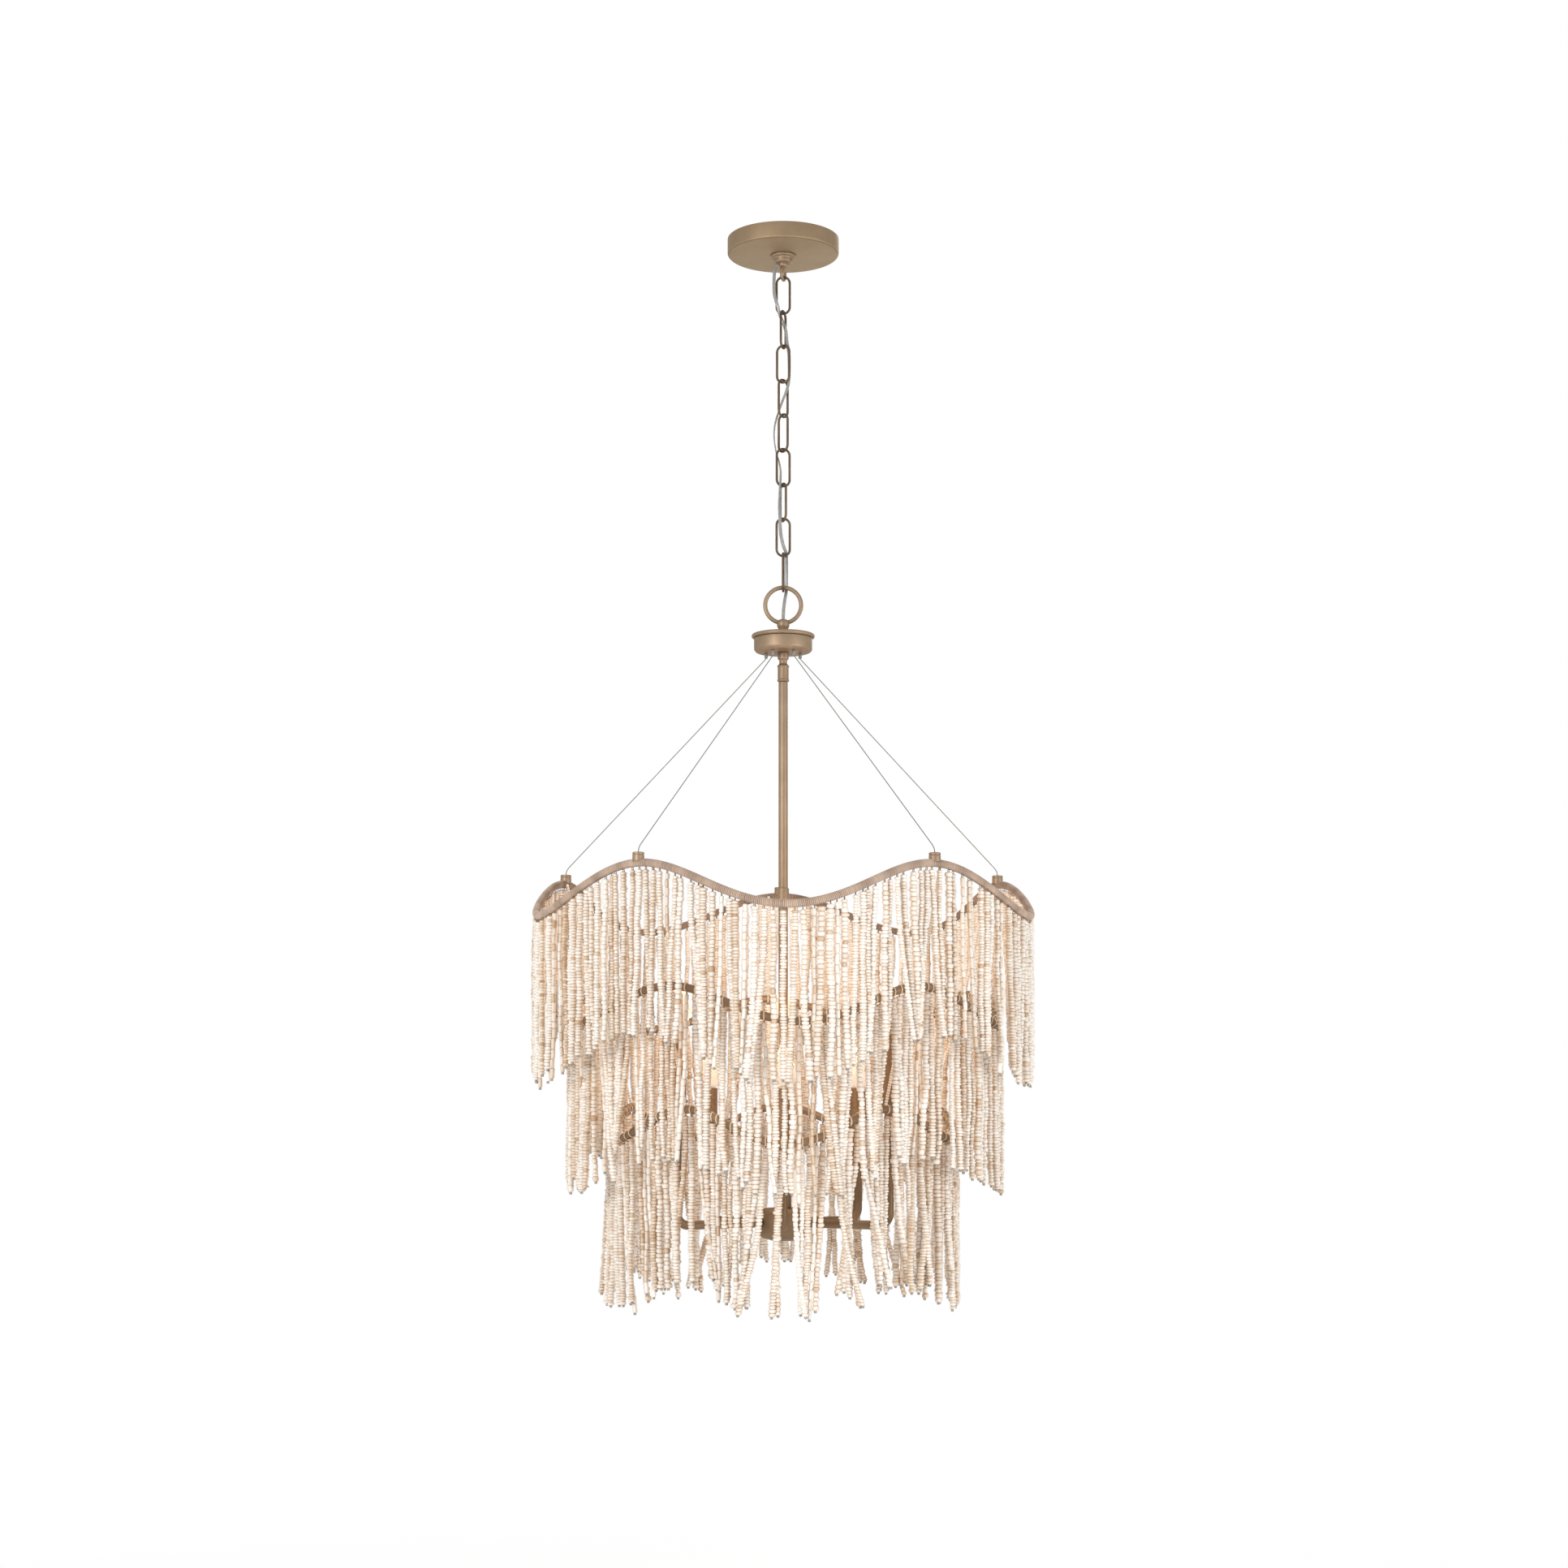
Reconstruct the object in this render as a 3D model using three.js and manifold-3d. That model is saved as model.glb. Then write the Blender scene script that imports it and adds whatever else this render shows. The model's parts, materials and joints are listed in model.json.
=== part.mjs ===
// A beaded chandelier that hangs on a chain, in millimetres, with +Z up and the viewer at -Y.
// The origin is the middle of the ceiling plane, on top of the canopy.
import * as THREE from "three";
import { mergeVertices } from "three/addons/utils/BufferGeometryUtils.js";
import Module from "manifold-3d";

const wasm = await Module();
wasm.setup();

// Clearance between pieces that rest on each other or sit in each other
const seat = 0.3;

// Ceiling plate: bar, nipple, nut, pan and screw collar
const barLength = 104;
const barWidth = 16;
const barThickness = 2.4;
const barSlotSpacing = 84;
const barSlotLength = 14;
const barSlotWidth = 4.6;
const nippleDiameter = 9.7;
const nippleBore = 6.4;
const nutDiameter = 17;
const nutThickness = 4;
const canopyDiameter = 141;
const canopyHeight = 21;
const canopyWall = 1.2;
const canopyEdge = 1.8;
const collarFlangeDiameter = 33;
const collarFlangeThickness = 3;
const collarDiameter = 23.3;
const collarHeight = 6.7;
const collarChamfer = 1;

// Loop under the collar
const neckDiameter = 11;
const neckGrip = 5;
const neckLength = 4.1;
const loopWire = 4.1;
const loopWidth = 17;
const loopDrop = 17.85;
const loopTurn = 70;

// Chain of interlocked links, each turned about the vertical as it hangs
const linkWire = 3;
const linkWidth = 19.6;
const linkLength = 50.8;
const linkTurns = [-5, 69, -21, 48, -48, 15, -66, 8, 88];

// Ring and knob on the hub
const hangingRingDiameter = 50;
const hangingRingWire = 5.3;
const knobDiameter = 15.2;
const knobWaistDiameter = 11;
const knobBaseDiameter = 17;
const knobTipDiameter = 5;
const knobCover = 1.8; // metal over the ring's hole
const knobHeight = 18.7;

// Hub: a lid with a rolled lip over a shallow cup
const lidDiameter = 78.7;
const lidHeight = 5;
const lipRound = 1.4;
const cupDiameter = 72.6;
const cupHeight = 17.8;
const cupWall = 1.6;
const cupRound = 3;
const cupBore = 8;

// Stem below the hub
const couplingDiameter = 13.8;
const couplingBeadDiameter = 15.2;
const couplingGrooveDiameter = 9.8;
const couplingNeckLength = 10;
const couplingGrooveLength = 5.4;
const couplingLength = 21;
const couplingBead = 2.6;
const couplingChamfer = 1.2;
const stemDiameter = 11.5;
const upperStemLength = 267;
const couplerDiameter = 14.6;
const couplerLength = 21;
const couplerChamfer = 1.2;
const lowerStemLength = 377;
const columnDiameter = 19.6;
const columnLength = 161;

// Wavy rings: mean radius, how far the lobes stand out, mean depth, height of the waves, turn and
// how many bead strands hang from each of the waves
const waves = 5;
const ringTube = 9.5;
const topRing = { radius: 296, lobe: 9, depth: 838.5, wave: 25.7, turn: 1, strands: 14 };

// A lower ring is inset and dropped from the ring above it
const middleStep = { inset: 41, drop: 133.5, lobe: 9, wave: 20.5, turn: 4, strands: 12 };
const bottomStep = { inset: 51, drop: 138.7, lobe: 8.5, wave: 19.1, turn: 1, strands: 10 };
const middleRing = under(topRing, middleStep);
const bottomRing = under(middleRing, bottomStep);
const tieDiameter = 4;

// Bead strands under each ring, strung on a header wire
const strandWidth = 7;
const strandLength = 192;
const headerHeight = 2.2;
const headerGap = 0.3;

// Steel cables from the hub to caps on the top ring's crests
const cableDiameter = 1.3;
const ferruleDiameter = 4.2;
const ferruleLength = 6.5;
const cableCircle = 44.6;
const cableBend = 7;
const cableBendHeight = 5;
const capDiameter = 13.6;
const capAboveRing = 12;
const capSkirt = 1.5; // how high above the ring's middle the cap ends
const capChamfer = 0.8;

// Lamp cluster: arms at one height that turn up to candle lamps of two heights
const clusterDiameter = 61;
const clusterHeight = 38.6;
const clusterShoulder = 5;
const clusterFoot = 16;
const armDrop = 16.9;
const armTube = 10.6;
const armBend = 15;
const cupFootDiameter = 12;
const cupBellyDiameter = 21;
const cupRimDiameter = 24.4;
const cupBellyHeight = 4;
const lampCupHeight = 11;
const socketDiameter = 16;
const sleeveDiameter = 21;
const sleeveWall = 1.2;
const sleeveLength = 90;
const bulbBaseDiameter = 12;
const bulbBaseLength = 22;
const bulbDiameter = 30;
const bulbNeckDiameter = 15;
const bulbHeight = 54;
const bulbTipDiameter = 5;

// Each lamp's inset from the bottom ring, and its cup's rise above the arm
const lowLamp = { inset: 98, rise: 60 };
const highLamp = { inset: 59, rise: 136.7 };

// Lamp cord: it weaves down the chain from the loop's neck to the knob
const cordDiameter = 3.2;
const cordRoute = [
  [-5.9, -1.2, -33],
  [-8.8, -1.9, -34.2],
  [-10.9, -2.4, -39],
  [-11.3, -2.7, -47],
  [-11.7, -3.1, -60],
  [-11.2, -3.6, -72],
  [-9, -4.6, -82],
  [-6.4, -4.6, -90],
  [-4.9, -3.2, -97],
  [-2.6, -1.2, -103],
  [0.5, -0.4, -110],
  [3.4, 0.6, -120],
  [4.5, 1.6, -131],
  [5.8, 2.3, -139],
  [7.2, 1.9, -148],
  [7.6, 1.8, -162],
  [7.6, 1.8, -174],
  [7.2, 1, -183],
  [6.2, -0.7, -190],
  [4, -0.8, -197],
  [1, 0.3, -205],
  [-2.2, 1.5, -213],
  [-5, 2.2, -221.5],
  [-7.6, 2.5, -229],
  [-10, 2.8, -238],
  [-11.3, 2.7, -251],
  [-10.5, 2.7, -264],
  [-8.4, 3.3, -276],
  [-5.8, 3.1, -284],
  [-4, 2.1, -292],
  [-3.1, 0.2, -300],
  [-3.2, -2.1, -308],
  [-3.5, -4.2, -316],
  [-4, -4.9, -324],
  [-4.6, -4, -338],
  [-4.5, -4, -352],
  [-4, -4.3, -362],
  [-3.6, -2.7, -372],
  [-2.6, -0.6, -383],
  [0.2, 1.4, -395],
  [3.2, 3.1, -403],
  [4.1, 3.9, -410],
  [4.2, 3.4, -420],
  [4.2, 3.6, -434],
  [4.1, 5.1, -446],
  [3.7, 5, -453.5],
  [2.6, 3, -460],
  [1.4, 0.9, -468],
  [0.4, 0.1, -478],
  [0, 0, -488.2],
];

// How finely the round shapes are cut
const wideSides = 24;
const smallSides = 14;
const tinySides = 10;
const wireSides = 6;
const thinSides = 6;
const bendSteps = 6;
const roundSegments = 6;

// Finishes, from the photograph
const metal = { color: 0x96806a, roughness: 0.42, metalness: 0.75 };
const darkMetal = { color: 0x5d4a3a, roughness: 0.45, metalness: 0.7 };
const wrapped = { color: 0xa8907e, roughness: 0.85, metalness: 0 };
const steel = { color: 0xa9a9a6, roughness: 0.35, metalness: 0.9 };
const beads = { color: 0xe6d5c0, roughness: 0.7, metalness: 0 };
const clearCord = { color: 0xc9c8c4, roughness: 0.3, metalness: 0 };
const card = { color: 0xb99c7a, roughness: 0.6, metalness: 0 };
const glow = { color: 0xffdfae, roughness: 0.2, metalness: 0 };

const chandelier = new THREE.Group();

function add(name, geometry, look, parent = chandelier) {
  const mesh = new THREE.Mesh(geometry, new THREE.MeshStandardMaterial(look));
  mesh.name = name;
  parent.add(mesh);
  return mesh;
}

// Joins and cuts
function solid(geometry) {
  const bare = geometry.index ? geometry.toNonIndexed() : geometry.clone();
  bare.deleteAttribute("normal");
  bare.deleteAttribute("uv");
  const merged = mergeVertices(bare, 1e-4);
  return new wasm.Manifold(
    new wasm.Mesh({
      numProp: 3,
      vertProperties: new Float32Array(merged.attributes.position.array),
      triVerts: new Uint32Array(merged.index.array),
    }),
  );
}

function geometryOf(body) {
  const mesh = body.getMesh();
  const geometry = new THREE.BufferGeometry();
  geometry.setAttribute("position", new THREE.BufferAttribute(mesh.vertProperties, 3));
  geometry.setIndex(new THREE.BufferAttribute(mesh.triVerts, 1));
  return geometry;
}

function join(...geometries) {
  return geometryOf(geometries.map(solid).reduce((whole, piece) => whole.add(piece)));
}

function cut(geometry, ...tools) {
  return geometryOf(tools.map(solid).reduce((whole, tool) => whole.subtract(tool), solid(geometry)));
}

// A path of straight spans with a station at each given point
class Route extends THREE.Curve {
  constructor(points, closed) {
    super();
    this.points = points;
    this.closed = closed;
    this.spans = closed ? points.length : points.length - 1;
  }
  at(index) {
    const count = this.points.length;
    if (this.closed) return this.points[(index + count) % count];
    return this.points[Math.min(Math.max(index, 0), count - 1)];
  }
  getPoint(t, target = new THREE.Vector3()) {
    const along = t * this.spans;
    const index = Math.min(Math.floor(along), this.spans - 1);
    return target.lerpVectors(this.at(index), this.at(index + 1), along - index);
  }
  getPointAt(u, target) {
    return this.getPoint(u, target);
  }
  getTangentAt(u, target = new THREE.Vector3()) {
    const index = Math.round(u * this.spans);
    return target.subVectors(this.at(index + 1), this.at(index - 1)).normalize();
  }
}

function openTube(points, diameter, sides) {
  const section = new THREE.Shape();
  section.absarc(0, 0, diameter / 2, 0, 2 * Math.PI);
  const outline = new THREE.Shape(section.getSpacedPoints(sides).slice(0, sides));
  return new THREE.ExtrudeGeometry(outline, {
    extrudePath: new Route(points, false),
    steps: points.length - 1,
  });
}

function closedTube(points, diameter, sides) {
  return new THREE.TubeGeometry(new Route(points, true), points.length, diameter / 2, sides, true);
}

// Turns a profile of [radius, height] pairs about +Z; it runs up the outside
function revolve(profile, sides) {
  const points = profile.map(([radius, height]) => new THREE.Vector2(radius, height));
  return new THREE.LatheGeometry(points, sides).rotateX(Math.PI / 2);
}

// A round bar or, with a bore, a pipe
function pipe(diameter, bore, bottom, top, sides) {
  const outer = diameter / 2;
  const inner = bore / 2;
  const profile = [
    [inner, bottom],
    [outer, bottom],
    [outer, top],
    [inner, top],
  ];
  if (bore > 0) profile.push(profile[0]);
  return revolve(profile, sides);
}

// A wire bent into a loop with straight legs, in the XZ plane, its middle at the origin
function wireLoop(width, length, wire) {
  const bend = (width - wire) / 2;
  const leg = (length - width) / 2;
  const points = [];
  for (const side of [1, -1]) {
    for (let step = 0; step <= bendSteps; step += 1) {
      const angle = (step / bendSteps) * Math.PI;
      points.push(
        new THREE.Vector3(side * bend * Math.cos(angle), 0, side * (leg + bend * Math.sin(angle))),
      );
    }
  }
  return closedTube(points, wire, wireSides);
}

// A direction in plan: azimuth 0 is towards the viewer, and it grows towards +X
function around(azimuth, radius, height) {
  return new THREE.Vector3(radius * Math.sin(azimuth), -radius * Math.cos(azimuth), height);
}

const radians = THREE.MathUtils.degToRad;

// Canopy
const barBottom = -barThickness;
const nutTop = barBottom - seat;
const canopyBottom = -canopyHeight;
const collarTop = canopyBottom - seat;
const flangeBottom = collarTop - collarFlangeThickness;
const collarBottom = flangeBottom - collarHeight;
const neckTop = collarBottom + neckGrip;
const neckBottom = collarBottom - neckLength;
const nippleHole = nippleDiameter + 2 * seat;
const neckHole = neckDiameter + 2 * seat;

function mountingBar() {
  const outline = new THREE.Shape();
  const end = (barLength - barWidth) / 2;
  outline.absarc(end, 0, barWidth / 2, -Math.PI / 2, Math.PI / 2);
  outline.absarc(-end, 0, barWidth / 2, Math.PI / 2, (3 * Math.PI) / 2);
  const middle = new THREE.Path();
  middle.absarc(0, 0, nippleHole / 2, 0, 2 * Math.PI, true);
  outline.holes.push(middle);
  const slotEnd = (barSlotLength - barSlotWidth) / 2;
  for (const side of [-1, 1]) {
    const slot = new THREE.Path();
    const place = (side * barSlotSpacing) / 2;
    slot.absarc(place - slotEnd, 0, barSlotWidth / 2, -Math.PI / 2, Math.PI / 2, true);
    slot.absarc(place + slotEnd, 0, barSlotWidth / 2, Math.PI / 2, -Math.PI / 2, true);
    outline.holes.push(slot);
  }
  const bar = new THREE.ExtrudeGeometry(outline, {
    depth: barThickness,
    bevelEnabled: false,
    curveSegments: roundSegments,
  });
  return bar.translate(0, 0, barBottom);
}

function canopyPan() {
  const outer = canopyDiameter / 2;
  const hole = nippleHole / 2;
  const floor = canopyBottom + canopyWall;
  const profile = [
    [hole, canopyBottom],
    [outer - canopyEdge, canopyBottom],
    [outer, canopyBottom + canopyEdge],
    [outer, 0],
    [outer - canopyWall, 0],
    [outer - canopyWall, canopyBottom + canopyEdge],
    [outer - canopyEdge, floor],
    [hole, floor],
    [hole, canopyBottom],
  ];
  return revolve(profile, wideSides);
}

function screwCollar() {
  const flange = collarFlangeDiameter / 2;
  const outer = collarDiameter / 2;
  const throat = neckHole / 2;
  const hole = nippleHole / 2;
  const ledge = neckTop + seat;
  const profile = [
    [throat, collarBottom],
    [outer - collarChamfer, collarBottom],
    [outer, collarBottom + collarChamfer],
    [outer, flangeBottom],
    [flange - collarChamfer, flangeBottom],
    [flange, flangeBottom + collarChamfer],
    [flange, collarTop],
    [hole, collarTop],
    [hole, ledge],
    [throat, ledge],
    [throat, collarBottom],
  ];
  return revolve(profile, smallSides);
}

function canopyLoop() {
  const neck = pipe(neckDiameter, 0, neckBottom, neckTop, smallSides);
  const loop = wireLoop(loopWidth, loopDrop + loopWire, loopWire)
    .translate(0, 0, neckBottom - loopDrop / 2)
    .rotateZ(radians(loopTurn));
  return join(neck, loop);
}

add("mounting_bar", mountingBar(), steel);
add("canopy_nipple", pipe(nippleDiameter, nippleBore, neckTop + seat, -seat, tinySides), steel);
const nutBottom = nutTop - nutThickness;
const nutBore = pipe(nippleHole, 0, nutBottom - seat, nutTop + seat, smallSides);
add("nipple_nut", cut(pipe(nutDiameter, 0, nutBottom, nutTop, thinSides), nutBore), steel);
add("canopy_pan", canopyPan(), metal);
add("screw_collar", screwCollar(), metal);
add("canopy_loop", canopyLoop(), metal);

// Chain: each link's upper bend rests in the lower bend of what carries it
const loopBend = neckBottom - loopDrop;
const firstLinkBend = loopBend + (loopWire + linkWire) / 2 + seat;
const linkPitch = linkLength - 2 * linkWire - seat;
linkTurns.forEach((turn, index) => {
  const link = add(`chain_link_${index + 1}`, wireLoop(linkWidth, linkLength, linkWire), metal);
  link.position.z = firstLinkBend - (linkLength - linkWire) / 2 - index * linkPitch;
  link.rotation.z = radians(turn);
});
const lastLinkBend = firstLinkBend - linkLength + linkWire - (linkTurns.length - 1) * linkPitch;

// Hanging ring and the knob that it passes through
const hangingRingRadius = (hangingRingDiameter - hangingRingWire) / 2;
const hangingRingMiddle = lastLinkBend + (linkWire + hangingRingWire) / 2 + seat - hangingRingRadius;
const ringBottom = hangingRingMiddle - hangingRingRadius;
const knobTop = ringBottom + hangingRingWire / 2 + seat + knobCover;
const knobBottom = knobTop - knobHeight;

function hangingRing(wire) {
  return new THREE.TorusGeometry(hangingRingRadius, wire / 2, wireSides, wideSides)
    .rotateX(Math.PI / 2)
    .translate(0, 0, hangingRingMiddle);
}

function ringKnob() {
  const waist = knobWaistDiameter / 2;
  const belly = knobDiameter / 2;
  const base = knobBaseDiameter / 2;
  const profile = [
    [0, knobBottom],
    [base, knobBottom],
    [base, knobBottom + lipRound],
    [waist, ringBottom - belly],
    [belly, ringBottom - hangingRingWire / 2],
    [belly, ringBottom],
    [knobTipDiameter, knobTop - knobCover / 2],
    [knobTipDiameter / 2, knobTop],
    [0, knobTop],
  ];
  return cut(revolve(profile, smallSides), hangingRing(hangingRingWire + 2 * seat));
}

add("hanging_ring", hangingRing(hangingRingWire), metal);
add("ring_knob", ringKnob(), metal);

// Hub
const lidTop = knobBottom - seat;
const lidBottom = lidTop - lidHeight;
const cupTop = lidBottom - seat;
const cupBottom = cupTop - cupHeight;

function hubLid() {
  const outer = lidDiameter / 2;
  const profile = [
    [0, lidBottom],
    [outer - lipRound, lidBottom],
    [outer, lidBottom + lipRound],
    [outer, lidTop - lipRound],
    [outer - lipRound, lidTop],
    [0, lidTop],
  ];
  return revolve(profile, wideSides);
}

function hubCup() {
  const outer = cupDiameter / 2;
  const inner = outer - cupWall;
  const hole = cupBore / 2;
  const floor = cupBottom + cupWall;
  const profile = [
    [hole, cupBottom],
    [outer - cupRound, cupBottom],
    [outer, cupBottom + cupRound],
    [outer, cupTop],
    [inner, cupTop],
    [inner, cupBottom + cupRound],
    [outer - cupRound, floor],
    [hole, floor],
    [hole, cupBottom],
  ];
  return revolve(profile, wideSides);
}

add("hub_lid", hubLid(), metal);
add("hub_cup", hubCup(), metal);

// Stem
const couplingTop = cupBottom - seat;
const grooveTop = couplingTop - couplingNeckLength;
const couplerTop = grooveTop - couplingGrooveLength;
const couplingBottom = couplerTop - couplingLength;
const upperStemTop = couplingBottom - seat;
const upperStemBottom = upperStemTop - upperStemLength;
const lowerStemTop = upperStemBottom - seat;
const lowerStemBottom = lowerStemTop - lowerStemLength;

function stemCoupling() {
  const outer = couplingDiameter / 2;
  const bead = couplingBeadDiameter / 2;
  const groove = couplingGrooveDiameter / 2;
  const profile = [
    [0, couplingBottom],
    [outer, couplingBottom],
    [bead, couplingBottom + couplingBead / 2],
    [outer, couplingBottom + couplingBead],
    [outer, couplerTop - couplingBead],
    [bead, couplerTop - couplingBead / 2],
    [outer, couplerTop],
    [groove, couplerTop + couplingChamfer],
    [groove, grooveTop],
    [outer, grooveTop + 2 * couplingChamfer],
    [outer, couplingTop],
    [0, couplingTop],
  ];
  return revolve(profile, smallSides);
}

function stemCoupler() {
  const outer = couplerDiameter / 2;
  const inner = stemDiameter / 2 + seat;
  const top = upperStemBottom + couplerLength / 2;
  const bottom = top - couplerLength;
  const profile = [
    [inner, bottom],
    [outer - couplerChamfer, bottom],
    [outer, bottom + couplerChamfer],
    [outer, top - couplerChamfer],
    [outer - couplerChamfer, top],
    [inner, top],
    [inner, bottom],
  ];
  return revolve(profile, smallSides);
}

add("stem_coupling", stemCoupling(), metal);
add("upper_stem", pipe(stemDiameter, 0, upperStemBottom, upperStemTop, smallSides), metal);
add("stem_coupler", stemCoupler(), metal);
add("lower_stem", pipe(stemDiameter, 0, lowerStemBottom, lowerStemTop, smallSides), metal);
add(
  "column_sleeve",
  pipe(columnDiameter, stemDiameter + 2 * seat, lowerStemBottom, lowerStemBottom + columnLength, smallSides),
  darkMetal,
);

function under(above, ring) {
  return { ...ring, radius: above.radius - ring.inset, depth: above.depth + ring.drop };
}

// Wavy rings: the radius is least and the height most at each crest
function ringPoint(ring, azimuth) {
  const phase = waves * (azimuth - radians(ring.turn));
  const height = -ring.depth - ring.wave * Math.cos(phase);
  return around(azimuth, ring.radius + ring.lobe * Math.cos(phase), height);
}

function crestAzimuth(ring, index) {
  return radians(ring.turn) + ((2 * index + 1) / waves) * Math.PI;
}

// A ring is bent straight from strand to strand, and each strand hangs below a corner
function station(ring, index) {
  return ringPoint(ring, (index / (waves * ring.strands)) * 2 * Math.PI);
}

function ringTubeOf(ring, diameter) {
  const points = [];
  for (let index = 0; index < waves * ring.strands; index += 1) {
    points.push(station(ring, index));
  }
  return closedTube(points, diameter, thinSides);
}

// Ties stand on a lower ring's crests and lean against the inside of the ring above
function tiedRing(ring, above) {
  const ties = [];
  const tilt = Math.atan2(above.radius - ring.radius, ring.depth - above.depth);
  const reach = (ringTube + tieDiameter) / 2 + seat;
  for (let index = 0; index < waves; index += 1) {
    const azimuth = crestAzimuth(ring, index);
    const foot = ringPoint(ring, azimuth);
    const head = ringPoint(above, azimuth).sub(around(azimuth, reach / Math.cos(tilt), 0));
    ties.push(openTube([foot, head], tieDiameter, thinSides));
  }
  return join(ringTubeOf(ring, ringTube), ...ties);
}

add("top_ring", ringTubeOf(topRing, ringTube), wrapped);
add("middle_ring", tiedRing(middleRing, topRing), darkMetal);
add("bottom_ring", tiedRing(bottomRing, middleRing), darkMetal);

// A fringe: a three-sided header wire that follows the ring, with a square strand under each of its
// short spans. Each cross-section holds the ridge, the header's two edges and the strand's two ends.
function fringe(ring) {
  const count = waves * ring.strands;
  const halfShare = strandWidth / 2 / ((2 * Math.PI * ring.radius) / count);
  const positions = [];
  const faces = [];
  const perSection = 5;
  const quad = (a, b, c, d) => faces.push(a, b, c, a, c, d);
  function section(index, side) {
    const middle = station(ring, index).lerp(station(ring, index + side), halfShare);
    const radius = Math.hypot(middle.x, middle.y);
    const azimuth = Math.atan2(middle.x, -middle.y);
    const phase = waves * (azimuth - radians(ring.turn));
    const slope = (waves * ring.wave * Math.sin(phase)) / radius;
    const ridge = middle.z - (ringTube / 2 + headerGap) * Math.hypot(1, slope);
    const edge = ridge - headerHeight;
    const end = edge - strandLength;
    const inner = radius - strandWidth / 2;
    const outer = radius + strandWidth / 2;
    for (const [reach, height] of [[radius, ridge], [inner, edge], [outer, edge], [inner, end], [outer, end]]) {
      positions.push(...around(azimuth, reach, height).toArray());
    }
  }
  for (let index = 0; index < count; index += 1) {
    section(index, -1);
    section(index, 1);
  }
  const sections = 2 * count;
  for (let index = 0; index < sections; index += 1) {
    const [ridge, inner, outer, innerEnd, outerEnd] = [0, 1, 2, 3, 4].map((k) => index * perSection + k);
    const next = ((index + 1) % sections) * perSection;
    const [ridgeB, innerB, outerB, innerEndB, outerEndB] = [0, 1, 2, 3, 4].map((k) => next + k);
    quad(outer, outerB, ridgeB, ridge);
    quad(innerB, inner, ridge, ridgeB);
    if (index % 2) {
      quad(inner, innerB, outerB, outer);
    } else {
      quad(outerEnd, outerEndB, outerB, outer);
      quad(innerEndB, innerEnd, inner, innerB);
      quad(innerEnd, outerEnd, outer, inner);
      quad(innerEndB, innerB, outerB, outerEndB);
      quad(innerEnd, innerEndB, outerEndB, outerEnd);
    }
  }
  const geometry = new THREE.BufferGeometry();
  geometry.setAttribute("position", new THREE.Float32BufferAttribute(positions, 3));
  geometry.setIndex(faces);
  return geometry;
}

add("top_strands", fringe(topRing), beads);
add("middle_strands", fringe(middleRing), beads);
add("bottom_strands", fringe(bottomRing), beads);

// Cables and their caps
function cableCap(crest) {
  const outer = capDiameter / 2;
  const top = crest.z + capAboveRing;
  const profile = [
    [0, crest.z + capSkirt],
    [outer, crest.z + capSkirt],
    [outer, top - capChamfer],
    [outer - capChamfer, top],
    [0, top],
  ];
  const cap = revolve(profile, tinySides).translate(crest.x, crest.y, 0);
  return cut(cap, ringTubeOf(topRing, ringTube + 2 * seat));
}

function suspensionCable(crest, azimuth) {
  const start = around(azimuth, cableCircle / 2, cupBottom - seat);
  const ferruleEnd = start.clone();
  ferruleEnd.z -= ferruleLength;
  const end = crest.clone();
  end.z += capAboveRing + seat;
  const corner = end.clone();
  corner.z += cableBendHeight;
  const bendStart = corner.clone().lerp(ferruleEnd, cableBend / corner.distanceTo(ferruleEnd));
  const bend = new THREE.QuadraticBezierCurve3(bendStart, corner, end).getPoints(bendSteps / 2);
  const inside = ferruleEnd.clone();
  inside.z += ferruleLength / 2;
  const ferrule = openTube([start, ferruleEnd], ferruleDiameter, wireSides);
  return join(ferrule, openTube([inside, ferruleEnd, ...bend], cableDiameter, thinSides));
}

for (let index = 0; index < waves; index += 1) {
  const azimuth = crestAzimuth(topRing, index);
  const crest = ringPoint(topRing, azimuth);
  add(`suspension_cable_${index + 1}`, suspensionCable(crest, azimuth), steel);
  add(`cable_cap_${index + 1}`, cableCap(crest), metal);
}

// Lamp cluster
const clusterTop = lowerStemBottom - seat;
const clusterBottom = clusterTop - clusterHeight;
const armHeight = clusterTop - armDrop;

function reachOf(lamp) {
  return bottomRing.radius - lamp.inset;
}

function clusterBody() {
  const outer = clusterDiameter / 2;
  const profile = [
    [0, clusterBottom],
    [clusterFoot, clusterBottom],
    [outer - clusterShoulder, clusterBottom + clusterShoulder / 2],
    [outer, clusterBottom + 2 * clusterShoulder],
    [outer, clusterTop - clusterShoulder],
    [outer - clusterShoulder, clusterTop],
    [0, clusterTop],
  ];
  return revolve(profile, wideSides);
}

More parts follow.
